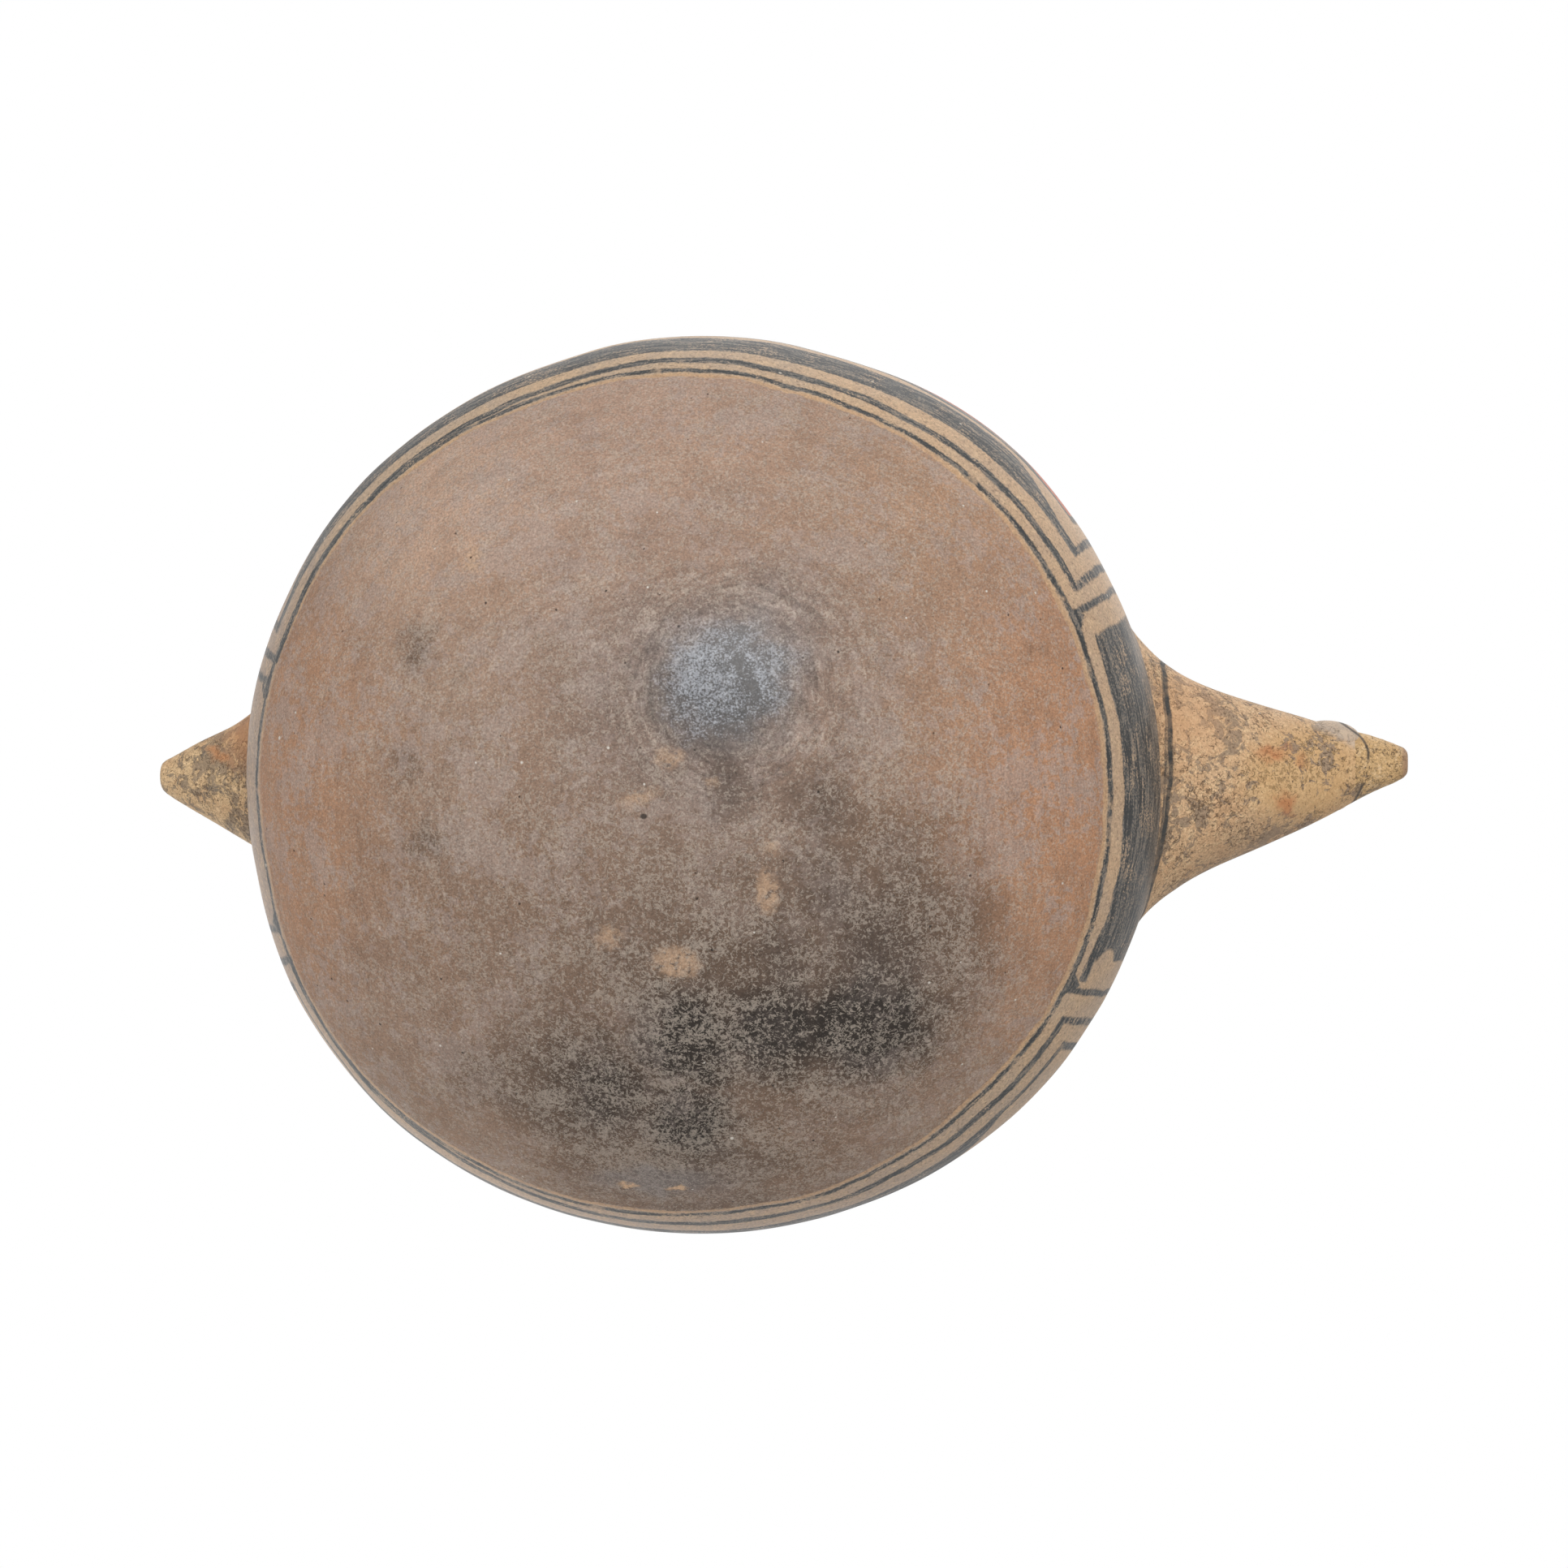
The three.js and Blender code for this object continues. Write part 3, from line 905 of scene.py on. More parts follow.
def fired_ground(f, edges, far_edges, mottle):
    """The colour of the fired clay, and the masks of its patches by name."""
    masks = {
        "orange": f.blots(f.place, ORANGES, 0.1),
        "halo": f.blot(far_edges, *HALO),
        "dusk": f.blots(far_edges, DUSK, 0.1),
        "streak": f.blots(edges, STREAKS),
        "cloud": f.blots(edges, CLOUDS).rise(0, 0.75),
    }
    # Painted light from the pale, tawny and pink patches, painted shade from the shaded patch.
    ground = f.coats(PINKISH, (f.noise(26, 3).rise(0.35, 0.65), YELLOWISH), (masks["orange"], ORANGE),
                     (f.blot(f.place, *LIT_PALE_PATCH) * 0.8, LIT_PALE),
                     (f.blot(f.place, *LIT_TAWNY_PATCH) * 0.6, LIT_TAWNY),
                     (f.blot(f.place, *LIT_PINK_PATCH) * 0.7, LIT_PINK),
                     (f.blot(far_edges, *PAINTED_SHADE_PATCH) * 0.8, PAINTED_SHADE_BROWN),
                     (mottle.rise(0.42, 0.66) * 0.25, MOTTLED), (masks["halo"] * 0.82, HALO_GREY),
                     (masks["dusk"] * 0.8, DUSKY), (masks["streak"] * 0.72, STREAKED),
                     (masks["cloud"] * 0.95, SOOT), (f.blots(edges, SPOTS) * 0.6, SPOTTED))
    return ground, masks


print("fire clouds:", len(CLOUDS), "streaks:", len(STREAKS), "spots:", len(SPOTS))

# %% [markdown]
# ## The grey film
# A light film lies on the clay and has come off in fine curled hairs. A hair is the thin ridge where a
# noise passes its middle value, broken up by a finer noise, with flecks between the hairs. A faint mauve
# veil lies over the rest, least in the dusky parts.

# %% Grey film
FILM_GREY, VEIL_MAUVE = (188, 175, 161), (174, 158, 150)


def grey_film(f, cover):
    """Fine curled hairs and flecks, denser where cover is high."""
    hairs = abs(f.noise(1.4, 3, 0.55, 1.2, shift=3) - 0.5).fall(0.02, 0.055)
    broken = (f.noise(0.8, 2, 0.6, shift=36) + cover).rise(0.42, 0.52)
    flecks = (f.noise(0.7, 4, 0.72, 0.6, shift=4) + cover).rise(0.54, 0.6)
    return (hairs * broken).either(flecks)


def with_film(f, ground, strokes, masks):
    """The ground under its film and veil, and where the film is."""
    orange, halo, dusk, streak, cloud = masks.values()
    patchy = f.noise(2.2, 3, 0.6, shift=5) * 0.6 + f.noise(8, 3, 0.6, shift=6) * 0.6 - 0.6
    cover = patchy * (0.6 - cloud * 0.2) + strokes * 0.1
    cover = cover - orange * 0.04 - streak * 0.07 + dusk * 0.03 - cloud * 0.015
    film = grey_film(f, cover)
    veil = f.noise(1.7, 4, 0.65, 0.6, shift=7) * 0.6 + f.noise(11, 3, 0.6, shift=7) * 0.6
    veil = veil.rise(0.6, 0.66) * (0.36 - dusk * 0.3 + orange * 0.1 - halo * 0.12)
    film_share = film * (0.42 + dusk * 0.08 + cloud * 0.06)
    return f.coats(ground, (film_share, FILM_GREY), (veil, VEIL_MAUVE)), film


print("film and veil:", FILM_GREY, VEIL_MAUVE)

# %% [markdown]
# ## The worn patch
# The bowl stood and turned on one place, which is polished dark grey, with a darker rim and one groove.
# The lamp's reflection on the polish is painted in: bluish-grey glints, two highlight patches and a
# highlight streak beside the groove. The dark grey and the painted highlight grey are mixed by a sum of
# the highlights, the rim and the grain.

# %% Worn patch
WORN = ((10, -23), (18, 15.5), -12, 0.3)
# Painted highlights: the lamp's reflection on the polish, given as colour, and its light grey.
PAINTED_HIGHLIGHTS = (((5, -25), (12, 13), 0, 1), ((19, -25), (9, 11), 0, 0.4))
RIMS = (((-3, -18), (9, 7), -40, 1), ((-4, -26), (5, 9), 10, 0.9), ((11, -12), (14, 5), -8, 1))
GROOVE = ((13.8, -24.3), (9, 1.8), 68)
HIGHLIGHT_STREAK = ((16.2, -24.3), (5, 1.2), 68, 0.1)
POLISH_DARK, POLISH_HIGHLIGHT = (40, 42, 44), (144, 148, 155)


def worn_patch(f, ground, edges, ragged, grain):
    """The ground with its polished patch and painted highlights, and where the patch and its dark rim are.
    """
    worn = f.blot(edges, *WORN)
    # Painted highlight: bright patches and a streak beside the groove.
    painted_highlight = f.blots(edges, PAINTED_HIGHLIGHTS, 0.2) + f.blot(ragged, *HIGHLIGHT_STREAK) * 1.2
    dark_rim = f.blots(edges, RIMS).either(f.blot(ragged, *GROOVE) * 1.4)
    rubbed = (grain - 0.5) * 2.8 + f.noise(1.7, 4, 0.7, shift=8) * 1.6 - 0.3
    polish_and_glints = (painted_highlight * 0.3 - dark_rim * 0.36 + rubbed).rise(0.36, 1.04)
    return f.mix(worn * 0.88, ground, f.mix(polish_and_glints, POLISH_DARK, POLISH_HIGHLIGHT)), worn, dark_rim


print("shines:", len(PAINTED_HIGHLIGHTS), "dark stretches of the rim:", len(RIMS))

# %% [markdown]
# ## Flakes, pits and temper
# A few flakes have come off down to the tan clay. Small dark pits are left where grit fell out, and white
# temper grains show all over. The pits and grains come last, over the shading of the strokes.

# %% Bare clay
FLAKES = (((-35.2, -43.7), (3.2, 4), 0, 1), ((-4.8, -3.4), (8, 3), -24, 0.6),
          ((-10.4, 21), (5, 4), -40, 0.7), ((1.2, 25.4), (7, 5), 10, 1), ((17.3, 12.7), (3.6, 7), 0, 0.9),
          ((0.6, -10.4), (5, 4), 0, 0.7), ((18, 5), (3, 3), 0, 0.6), ((8, -6), (3, 2), 0, 0.5))
EDGE_SMUDGE, DEEP_PIT = ((-5, 67), (18, 4.5), 0, 0.2), ((-3.9, -0.2), (0.8, 0.6), 0, 0.5)
SPALLS = (((-10.2, 68.4), (2.6, 0.9), 0, 1), ((-1.4, 68.8), (2.1, 0.9), 0, 1))
TAN, SMUDGE_GREY, SPALL_TAN = (198, 164, 134), (132, 129, 130), (216, 178, 142)
PIT_DARK, TEMPER_WHITE = (40, 34, 30), (222, 216, 206)


def bare_clay(f):
    """Colour, roughness, relief and gloss of the brown bottom."""
    edges, far_edges, ragged = f.wander(5, 9), f.wander(18, 30), f.wander(1.8, 3.4)
    mottle = f.noise(6, 4, 0.6, shift=1)
    grain = f.noise(0.4, 3, 0.72, shift=2)
    strokes = rubbed_strokes(f)
    ground, masks = fired_ground(f, edges, far_edges, mottle)
    ground, film = with_film(f, ground, strokes, masks)
    ground, worn, dark_rim = worn_patch(f, ground, edges, ragged, grain)

    flakes = f.blots(ragged, FLAKES) * f.noise(1.6, 3, 0.6, shift=9).rise(0.28, 0.5)
    ground = f.coats(ground, (flakes.rise(0.1, 0.8) * 0.6, TAN),
                     (f.blot(edges, *EDGE_SMUDGE) * 0.4, SMUDGE_GREY),
                     (f.blots(ragged, SPALLS, 0.3) * 0.8, SPALL_TAN))
    rubbing = strokes * (0.4 + masks["halo"] * 0.5) + straight_strokes(f) * 0.45
    ground = f.shade(ground, 1 + (grain - 0.5) * 1.8 + rubbing)

    pits = f.dots(3.1, 0.3, 0.3, shift=2) * f.noise(0.5, 2, shift=10).rise(0.4, 0.55)
    pits = pits.either(f.blot(f.place, *DEEP_PIT))
    temper = f.dots(4.4, 0.26, 0.3, shift=1).either(f.dots(9, 0.42, 0.3, shift=5))
    ground = f.coats(ground, (pits * 0.85, PIT_DARK), (temper * 0.85, TEMPER_WHITE))

    gloss = worn * 0.6 + masks["halo"] * 0.12
    roughness = 0.6 + grain * 0.16 - worn * 0.2 + flakes * 0.1
    raised = grain * 0.12 + mottle * 0.14 + strokes * 0.12 + film * 0.02
    return ground, roughness, raised - pits * 0.12 - flakes * 0.1 - dark_rim * 0.1, gloss


print("flakes:", len(FLAKES), "spalls:", len(SPALLS))

# %% [markdown]
# ## Slip and brush
# Above the brown zone the wall is slipped in buff, which is warmer towards the head, greyer towards the
# tail, darker and greyer towards the bird's left side, partly as painted shade, and speckled light and
# dark. The brush leaves fine streaks that run round the bowl.

# %% Slip and brush
LINE_SOFTNESS = 0.22
STREAK_RADIUS = 80
STREAK_LENGTH = 6
BUFF, GREY_BUFF, WARM_BUFF = (198, 168, 136), (184, 161, 138), (196, 160, 126)
TAIL_BUFF, LEFT_SHADED_BUFF = (152, 134, 126), (170, 151, 143)
SPECK_LIGHT, SPECK_DARK = (218, 188, 152), (118, 96, 80)


def within(signal, low, high, soft=LINE_SOFTNESS):
    """1 where a signal lies between two others."""
    return (signal - low).rise(-soft, soft) * (signal - high).fall(-soft, soft)


def buff_slip(f):
    """The slip under the paint: buff, a little greyer or warmer from place to place; painted shade on the
    left.
    """
    # The darker grey buff on the bird's left side is partly painted shade.
    return f.coats(BUFF, (f.noise(9, 4, 0.6, shift=7).rise(0.35, 0.65), GREY_BUFF),
                   ((f.x - f.y * 0.4).rise(20, 90) * 0.4, WARM_BUFF),
                   (f.x.fall(-86, -50) * 0.6, TAIL_BUFF), (f.y.rise(40, 84) * 0.4, LEFT_SHADED_BUFF),
                   (f.noise(1.3, 3, 0.7, shift=8).rise(0.48, 0.66) * 0.5, SPECK_LIGHT),
                   (f.noise(0.7, 3, 0.7, shift=9).fall(0.36, 0.44) * 0.55, SPECK_DARK))


def brush_streaks(f, turn):
    """Fine streaks that run round the bowl, as a brush leaves them."""
    radians = turn * math.radians(1)
    round_x, round_y = (f.math(wave, radians) * STREAK_RADIUS for wave in ("COSINE", "SINE"))
    along = f.vector(round_x / STREAK_LENGTH, round_y / STREAK_LENGTH, f.z * 1.5)
    return f.noise(1, 3, 0.65, place=along, shift=10)


print("painted edges are soft over", 2 * LINE_SOFTNESS, "mm")

# %% [markdown]
# ## The painted band
# The paint is a thin line all the way round, a black block under the head, and on each side a panel of
# frames set inside each other, with red in the middle. The frames are written in two measures, the turn
# round the bowl in degrees and the height in millimetres. Both are folded at the middle of the panel, so
# one corner of the frames makes all four, and the painter's hand trembles a little in both. A pair gives
# a place on the left side and how much nearer to the head it is on the right.

# %% Painted band
PANEL_MIDDLE_TURN = 94.2
RIGHT_PANEL_FURTHER = 1.1
PANEL_MIDDLE_HEIGHT = 62.0
FIRST_LINE, LINE_TILT, LINE_ROLL = 34.4, 2.5, 0.7
LINE_HALF = 0.6
BAR, BAR_HALF, BAR_FOOT = (26.3, 0.8), 0.5, 3.2
SECOND_LEG, THIRD_LEG, FOURTH_LEG = (30.5, 1.9), (34.2, 2.0), (37.5, 2.0)
SECOND_LINE, THIRD_LINE, FOURTH_LINE = 36.3, 40.8, 53.2
BLOCK_FOOT, BLOCK_SIDE = 35.6, 21.6
BITE = ((23.4, 40.5), (3.6, 4.2), 0, 0.8)
HEEL_TURNS, HEEL_HEIGHT = (14, 25), 2.4
ALL_THE_WAY_UP = 200
LIP_PAINT = 87.6


class Band:
    """Where a point lies on the painted band."""

    def __init__(self, f):
        self.turn = f.math("ARCTAN2", f.y, f.x) * math.degrees(1)
        self.right = f.math("LESS_THAN", self.turn, 0)
        self.wobble = f.noise(9, 2, 0.5, shift=11) - 0.5
        tremble = f.noise(0.9, 4, 0.7, shift=12) - 0.5
        self.height = f.z + self.wobble * 1.6 + tremble * 1.1
        self.away = abs(self.turn + (f.noise(8, 2, 0.5, shift=13) - 0.5) * 1.3 + tremble * 0.8)
        middle = PANEL_MIDDLE_TURN + self.right * RIGHT_PANEL_FURTHER
        self.inwards = middle - abs(self.away - middle)
        self.up = PANEL_MIDDLE_HEIGHT - abs(self.height - PANEL_MIDDLE_HEIGHT)
        forward, aside = (f.math(wave, self.turn * math.radians(1)) for wave in ("COSINE", "SINE"))
        self.first_line = FIRST_LINE - forward * LINE_TILT - aside * LINE_ROLL

    def place(self, pair):
        return pair[0] - self.right * pair[1]


def upright_bar(band):
    """The bar beside the black block, with its broad foot on the first line."""
    bar = band.place(BAR)
    upright = within(band.inwards, bar - BAR_HALF, bar + BAR_HALF)
    upright = upright * within(band.up, band.first_line, ALL_THE_WAY_UP)
    slope = abs(band.inwards - bar + 0.8) * 1.7
    foot = (band.first_line + BAR_FOOT - slope - band.up).rise(-0.3, 0.3)
    return upright.either(foot * (band.up - band.first_line).rise(-0.6, 0))


def frame_line(band, low, high, leg, foot, half=LINE_HALF):
    """A line between two heights that turns the corner into its leg; foot is where the leg starts."""
    level = within(band.up, low, high) * (band.inwards - leg).rise(-0.6, -0.2)
    return level.either(within(band.inwards, leg - half, leg + half) * (band.up - foot).rise(-0.2, 0.4))


def panel_frames(band):
    """Masks of the black frames and of the red in their middle."""
    right, inwards = band.right, band.inwards
    second = SECOND_LINE + right * 0.5 + (inwards - 36) * 0.03
    leg = band.place(SECOND_LEG)
    black = frame_line(band, second - 0.9, second + 0.9, leg, second - 0.2, 0.55)

    third = THIRD_LINE + right * 1.0 + (inwards - 35).rise(10, 24) * (2.2 - right * 1.6)
    leg = band.place(THIRD_LEG)
    opens = leg + 17 - right * 8
    top = third + 1.5 + right * 1.6 + (inwards - opens).rise(-6, 6) * (7.8 - right * 1.6)
    black = black.either(frame_line(band, third, top, leg, third))

    fourth = FOURTH_LINE + (inwards - 38).rise(-4, 8) * 1.2 + (inwards - 56).rise(0, 12) * 2.4
    leg = band.place(FOURTH_LEG)
    top = fourth + 0.9 + (inwards - 41).rise(0, 4) * 2.4
    black = black.either(frame_line(band, fourth - 0.9, top, leg, fourth))
    return black, (band.up - top).rise(-0.3, 0.2) * (inwards - leg).rise(0.4, 0.9)


def head_block(f, band):
    """The black block under the head: a bite out of one foot, a heel below, and painted sheen at its top.
    """
    low = BLOCK_FOOT - (band.turn - HEEL_TURNS[0]).rise(0, 8) * 1.6
    block = within(band.up, low, ALL_THE_WAY_UP) * band.away.fall(BLOCK_SIDE, BLOCK_SIDE + 0.6)
    bite = f.blot(f.vector(band.turn, f.z, 0), *BITE)
    heel = within(band.up, low, low + HEEL_HEIGHT) * within(band.turn, *HEEL_TURNS)
    # Near its top the black thins: partly wear, partly painted sheen where the wall turns away.
    return (block * (1 - bite)).either(heel) * (1 - f.z.rise(46, 60) * 0.3)


def painted_band(f):
    """Masks of the brown zone, the bare strip over it, the black and the red paint, and the turn."""
    band = Band(f)
    over_line = band.height - band.first_line
    dry = f.noise(9, 4, 0.7, shift=33).rise(0.55, 0.66) * 0.7
    line = within(band.height, band.first_line - LINE_HALF, band.first_line + LINE_HALF) * (1 - dry)
    frames, red = panel_frames(band)
    lip = (f.z - LIP_PAINT + band.wobble).rise(-0.3, 0.3)
    black = line.either(upright_bar(band)).either(frames).either(head_block(f, band)).either(lip)
    return over_line.fall(-1.9, -1.5), over_line.fall(-1.1, -0.7), black, red, band.turn


print("legs of the frames, in degrees from the head:", SECOND_LEG[0], THIRD_LEG[0], FOURTH_LEG[0])

# %% [markdown]
# ## The inside of the bowl and the paint
# Inside, the bowl has a plain smoothed coat, darker in patches towards its floor. The black and the red
# lie on the slip, thinner where the brush ran dry.

# %% Inside and paint
INSIDE, INSIDE_LIGHT, INSIDE_SPECK = (150, 122, 100), (166, 138, 114), (128, 108, 94)
LOW_DARK, INSIDE_PIT = (110, 92, 80), (70, 58, 50)
INK_DARK, INK_LIGHT, RED_PAINT = (50, 51, 51), (94, 96, 95), (182, 84, 50)
BARE_STRIP, SLIP_TEMPER = (194, 148, 104), (214, 202, 186)


def inside_clay(f):
    low_patches = f.z.fall(8, 34) * f.noise(12, 4, 0.6, shift=16).rise(0.35, 0.6)
    return f.coats(INSIDE, (f.noise(16, 4, 0.6, shift=14).rise(0.35, 0.65), INSIDE_LIGHT),
                   (f.noise(2.2, 4, 0.65, shift=15).rise(0.5, 0.7) * 0.45, INSIDE_SPECK),
                   (low_patches * 0.5, LOW_DARK), (f.dots(4.2, 0.45, 0.2, shift=2) * 0.8, INSIDE_PIT))


def slip_and_paint(f, strip, black, red, turn):
    """The painted slip, and its brush streaks and fine grain."""
    streaks = brush_streaks(f, turn)
    fine = f.noise(0.45, 3, 0.72, shift=18)
    thin = f.noise(6, 3, 0.6, shift=17).rise(0.45, 0.68)
    rubbed = (streaks * 0.45 + fine * 0.55).rise(0.48, 0.58)
    black = black * (1 - rubbed * (0.24 + thin * 0.5))
    red = red * (0.85 - streaks.rise(0.5, 0.8) * 0.4)
    ink = f.mix((streaks * 0.7 + fine * 0.3).rise(0.42, 0.6), INK_DARK, INK_LIGHT)
    coat = f.coats(buff_slip(f), (strip * 0.4, BARE_STRIP), (red, RED_PAINT), (black, ink))
    coat = f.shade(coat, 1 + (fine - 0.5) * 1.4)
    return f.mix(f.dots(5.2, 0.4, 0.2, shift=3) * 0.8, coat, SLIP_TEMPER), streaks, fine


print("the black paint runs from", INK_DARK, "to", INK_LIGHT)

# %% [markdown]
# ## The bowl's finish
# The three stories meet in one material for the base, the coils and the rim: bare clay below the first
# line, painted slip above it, and the smoothed coat inside. A point is inside when it lies within the two
# ellipses of the wall's outside.

# %% Finish of the bowl
def inside_mask(f):
    lower, upper, widest = (length / MM for length in (LOWER_DEPTH, UPPER_DEPTH, WIDEST_HEIGHT))
    depth = lower + (f.z - widest).rise(-0.01, 0.01) * (upper - lower)
    level = f.from_middle(f.x, f.y) / (BOWL_RADIUS / MM)
    fullness = f.from_middle(level, (f.z - widest) / depth)
    return fullness.fall(0.955, 0.975) * f.z.fall(86.5, 87.5)


def finish_bowl():
    f = Finish("bowl_clay")
    brown_zone, strip, black, red, turn = painted_band(f)
    ground, roughness, relief, gloss = bare_clay(f)
    coat, streaks, fine = slip_and_paint(f, strip, black, red, turn)
    colour = f.mix(inside_mask(f), f.mix(brown_zone, coat, ground), inside_clay(f))

    slipped = 1 - brown_zone
    slip_relief = fine * 0.06 + streaks * 0.05 + f.noise(6, 3, shift=19) * 0.1
    relief = relief * brown_zone + slip_relief * slipped
    roughness = roughness * brown_zone + (0.54 + fine * 0.16) * slipped
    return f.complete(colour, roughness, relief, gloss * brown_zone + slipped * 0.1)


bowl_clay = finish_bowl()
print("bowl clay:", len(bowl_clay.node_tree.nodes), "nodes")

# %% [markdown]
# ## Worn ochre
# The head, the beak and the tail are the same ochre clay: grainy, flaked to a lighter yellow, and rubbed
# down to a pitted grey-brown where hands and the table have worn it.

# %% Worn ochre
FLAKE_YELLOW, SCUFF_BROWN, PITTED_BROWN = (232, 200, 158), (124, 110, 98), (104, 82, 62)


def worn_ochre(f, bare, light, worn_share):
    """The coat, and where it is scuffed, pitted and grainy; worn_share says how much is scuffed."""
    grain = f.noise(0.45, 3, 0.75, shift=28)
    flakes = f.noise(1.5, 4, 0.7, 0.8, shift=24).rise(0.5, 0.6)
    scuff = f.noise(2.6, 5, 0.75, 0.8, shift=21) + f.noise(11, 2, shift=22) * 0.6
    scuffed = scuff.rise(0.89 - worn_share, 0.94 - worn_share)
    rough = f.noise(7, 3, 0.6, shift=37).rise(0.4, 0.6) * 0.07
    pitted = (f.noise(0.7, 4, 0.75, 0.8, shift=23) - rough).fall(0.34, 0.4)
    coat = f.coats(bare, (f.noise(7, 4, 0.6, shift=20).rise(0.35, 0.65), light),
                   (flakes * 0.5, FLAKE_YELLOW), (scuffed * 0.66, SCUFF_BROWN),
                   (pitted * 0.7, PITTED_BROWN))
    return f.shade(coat, 1 + (grain - 0.5) * 1.9), scuffed, pitted, grain


def complete_ochre(f, coat, grain, worn_away, wave_length=5, roughness=0.6):
    relief = grain * 0.1 - worn_away + f.noise(wave_length, 3, shift=29) * 0.14
    return f.complete(coat, roughness + grain * 0.16, relief, grain * 0.08)


print("scuffed and flaked ochre:", SCUFF_BROWN, FLAKE_YELLOW)

# %% [markdown]
# ## Dark rings on the head
# A dark line follows the flare where the head leaves the wall. It was drawn in two strokes over a thin
# wash, and it stops inside the hollow of the head. Another line goes round the foot of the beak, bent
# like a bow and rubbed away in the middle of the underside.

# %% Painted rings
RING_INK, RING_WASH, BEAK_INK = (68, 67, 65), (112, 102, 92), (66, 62, 60)
FLARE_RING = 84.75
HOLLOW_Z, HOLLOW_FLATNESS = 69.2, 0.72
BEAK_FOOT, BEAK_RING_HALF = 120.7, 0.24
BEAK_GAP = ((120, -1), (4, 2.6), 0, 0.6)


def flare_ring(f, coat):
    wobble = f.noise(5, 2, shift=26) - 0.5
    flare = f.from_middle(f.x, f.y) + f.y * 0.065 + wobble * 0.8 - FLARE_RING
    spread = (0.62 - abs(f.y + 3) * 0.018).either(0.1)
    faded = 0.7 + f.noise(2.4, 3, 0.6, shift=27).rise(0.38, 0.58) * 0.3
    faded = faded * f.from_middle(f.y, (f.z - HOLLOW_Z) / HOLLOW_FLATNESS).rise(18.2, 19)
    wash = within(flare, 0 - spread, spread, 0.2) * 0.6
    outer = within(flare, spread - 0.6, spread + 0.2, 0.15)
    inner = within(flare, -0.1 - spread, 0.15 - spread, 0.15) * 0.7
    return f.coats(coat, (wash * faded, RING_WASH), (outer.either(inner) * faded, RING_INK))


def beak_ring(f, coat):
    bend = f.y + 4.2
    foot = BEAK_FOOT - bend * bend * (0.033 + f.math("LESS_THAN", bend, 0) * 0.13)
    gap = f.blot(f.place, *BEAK_GAP) * f.z.fall(80, 82)
    ring = within(f.x, foot - BEAK_RING_HALF, foot + BEAK_RING_HALF, 0.16) * (1 - gap)
    return f.mix(ring * f.x.rise(106, 110) * 0.85, coat, BEAK_INK)


print("the ring on the flare is", FLARE_RING, "mm from the bowl's axis")

# %% [markdown]
# ## The head
# The head is ochre, warmer on one side and shaded on the other, and yellow towards the beak. There are
# red smudges on the underside, and the pinched cheek is paler.

# %% Finish of the head
HEAD_OCHRE, HEAD_LIGHT, HEAD_TEMPER = (204, 165, 126), (212, 176, 138), (226, 216, 200)
YELLOW, WARM_SIDE, SHADED_SIDE = (218, 176, 118), (214, 166, 124), (150, 124, 100)
SMUDGE_RED, PALE_CHEEK = (190, 104, 58), (208, 190, 172)
YELLOW_PATCH = ((109, -1), (15, 12), 0, 0.4)
WARM_PATCH, DIM_PATCH = ((88, -13), (11, 9), 30, 0.2), ((98, 12), (18, 7), -30, 0.2)
RED_SMUDGES = (((103.5, -5.4), (4.4, 2.2), 0, 1), ((105.5, 3.6), (3.4, 2.6), 60, 1),
               ((108.6, -3.5), (2, 2), 0, 0.6))


def pale_cheek(f):
    """The side of the head beyond a slanting line, before the beak."""
    beyond = (f.x - 110.2) * 0.5 - (f.y + 10.1) * 0.866
    return beyond.rise(-0.7, 0.7) * f.x.rise(108, 112) * f.z.fall(84, 87)


def finish_head():
    f = Finish("head_clay")
    yellow = f.blot(f.place, *YELLOW_PATCH)
    coat, scuffed, pitted, grain = worn_ochre(f, HEAD_OCHRE, HEAD_LIGHT, 0.07 - yellow * 0.07)
    underside = (f.z - f.x * 0.36).fall(38, 46)
    smudges = f.blots(f.wander(3, 5), RED_SMUDGES, 0.1) * underside * (0.25 + grain * 0.6)
    coat = f.coats(coat, (yellow * 0.5 * (1 - scuffed), YELLOW),
                   (f.blot(f.place, *WARM_PATCH) * 0.4, WARM_SIDE),
                   (f.blot(f.place, *DIM_PATCH) * 0.3, SHADED_SIDE),
                   (smudges, SMUDGE_RED), (pale_cheek(f) * 0.72, PALE_CHEEK))
    coat = beak_ring(f, flare_ring(f, coat))
    coat = f.mix(f.dots(4.8, 0.3, 0.25, shift=4) * 0.8, coat, HEAD_TEMPER)
    return complete_ochre(f, coat, grain, scuffed * 0.05 + pitted * 0.1, roughness=0.62)


head_clay = finish_head()
print("head clay:", len(head_clay.node_tree.nodes), "nodes")

# %% [markdown]
# ## The beak and the tail
# The beak is a deeper yellow, worn to brown at its very end. The tail has an orange patch on one side and
# dark grey wear on the other. Then every piece gets its clay.

# %% Finish of the beak and the tail
BEAK_YELLOW, BEAK_LIGHT, BEAK_END = (198, 160, 112), (208, 172, 124), (176, 140, 112)
TAIL_OCHRE, TAIL_LIGHT, TAIL_TEMPER = (204, 168, 128), (214, 182, 140), (220, 196, 160)
TAIL_ORANGE, TAIL_GREY = (214, 150, 102), (108, 100, 92)
TAIL_WARM = (((-83, -9), (10, 9), 0, 0.8), ((-90, -5), (6, 2), 20, 1))


def finish_beak():
    f = Finish("beak_clay")
    coat, _, pitted, grain = worn_ochre(f, BEAK_YELLOW, BEAK_LIGHT, 0.07)
    end = (f.x + (grain - 0.5) * 2).rise(126.6, 127.4)
    coat = f.mix(end * 0.8, beak_ring(f, coat), BEAK_END)
    return complete_ochre(f, coat, grain, pitted * 0.1, wave_length=4)


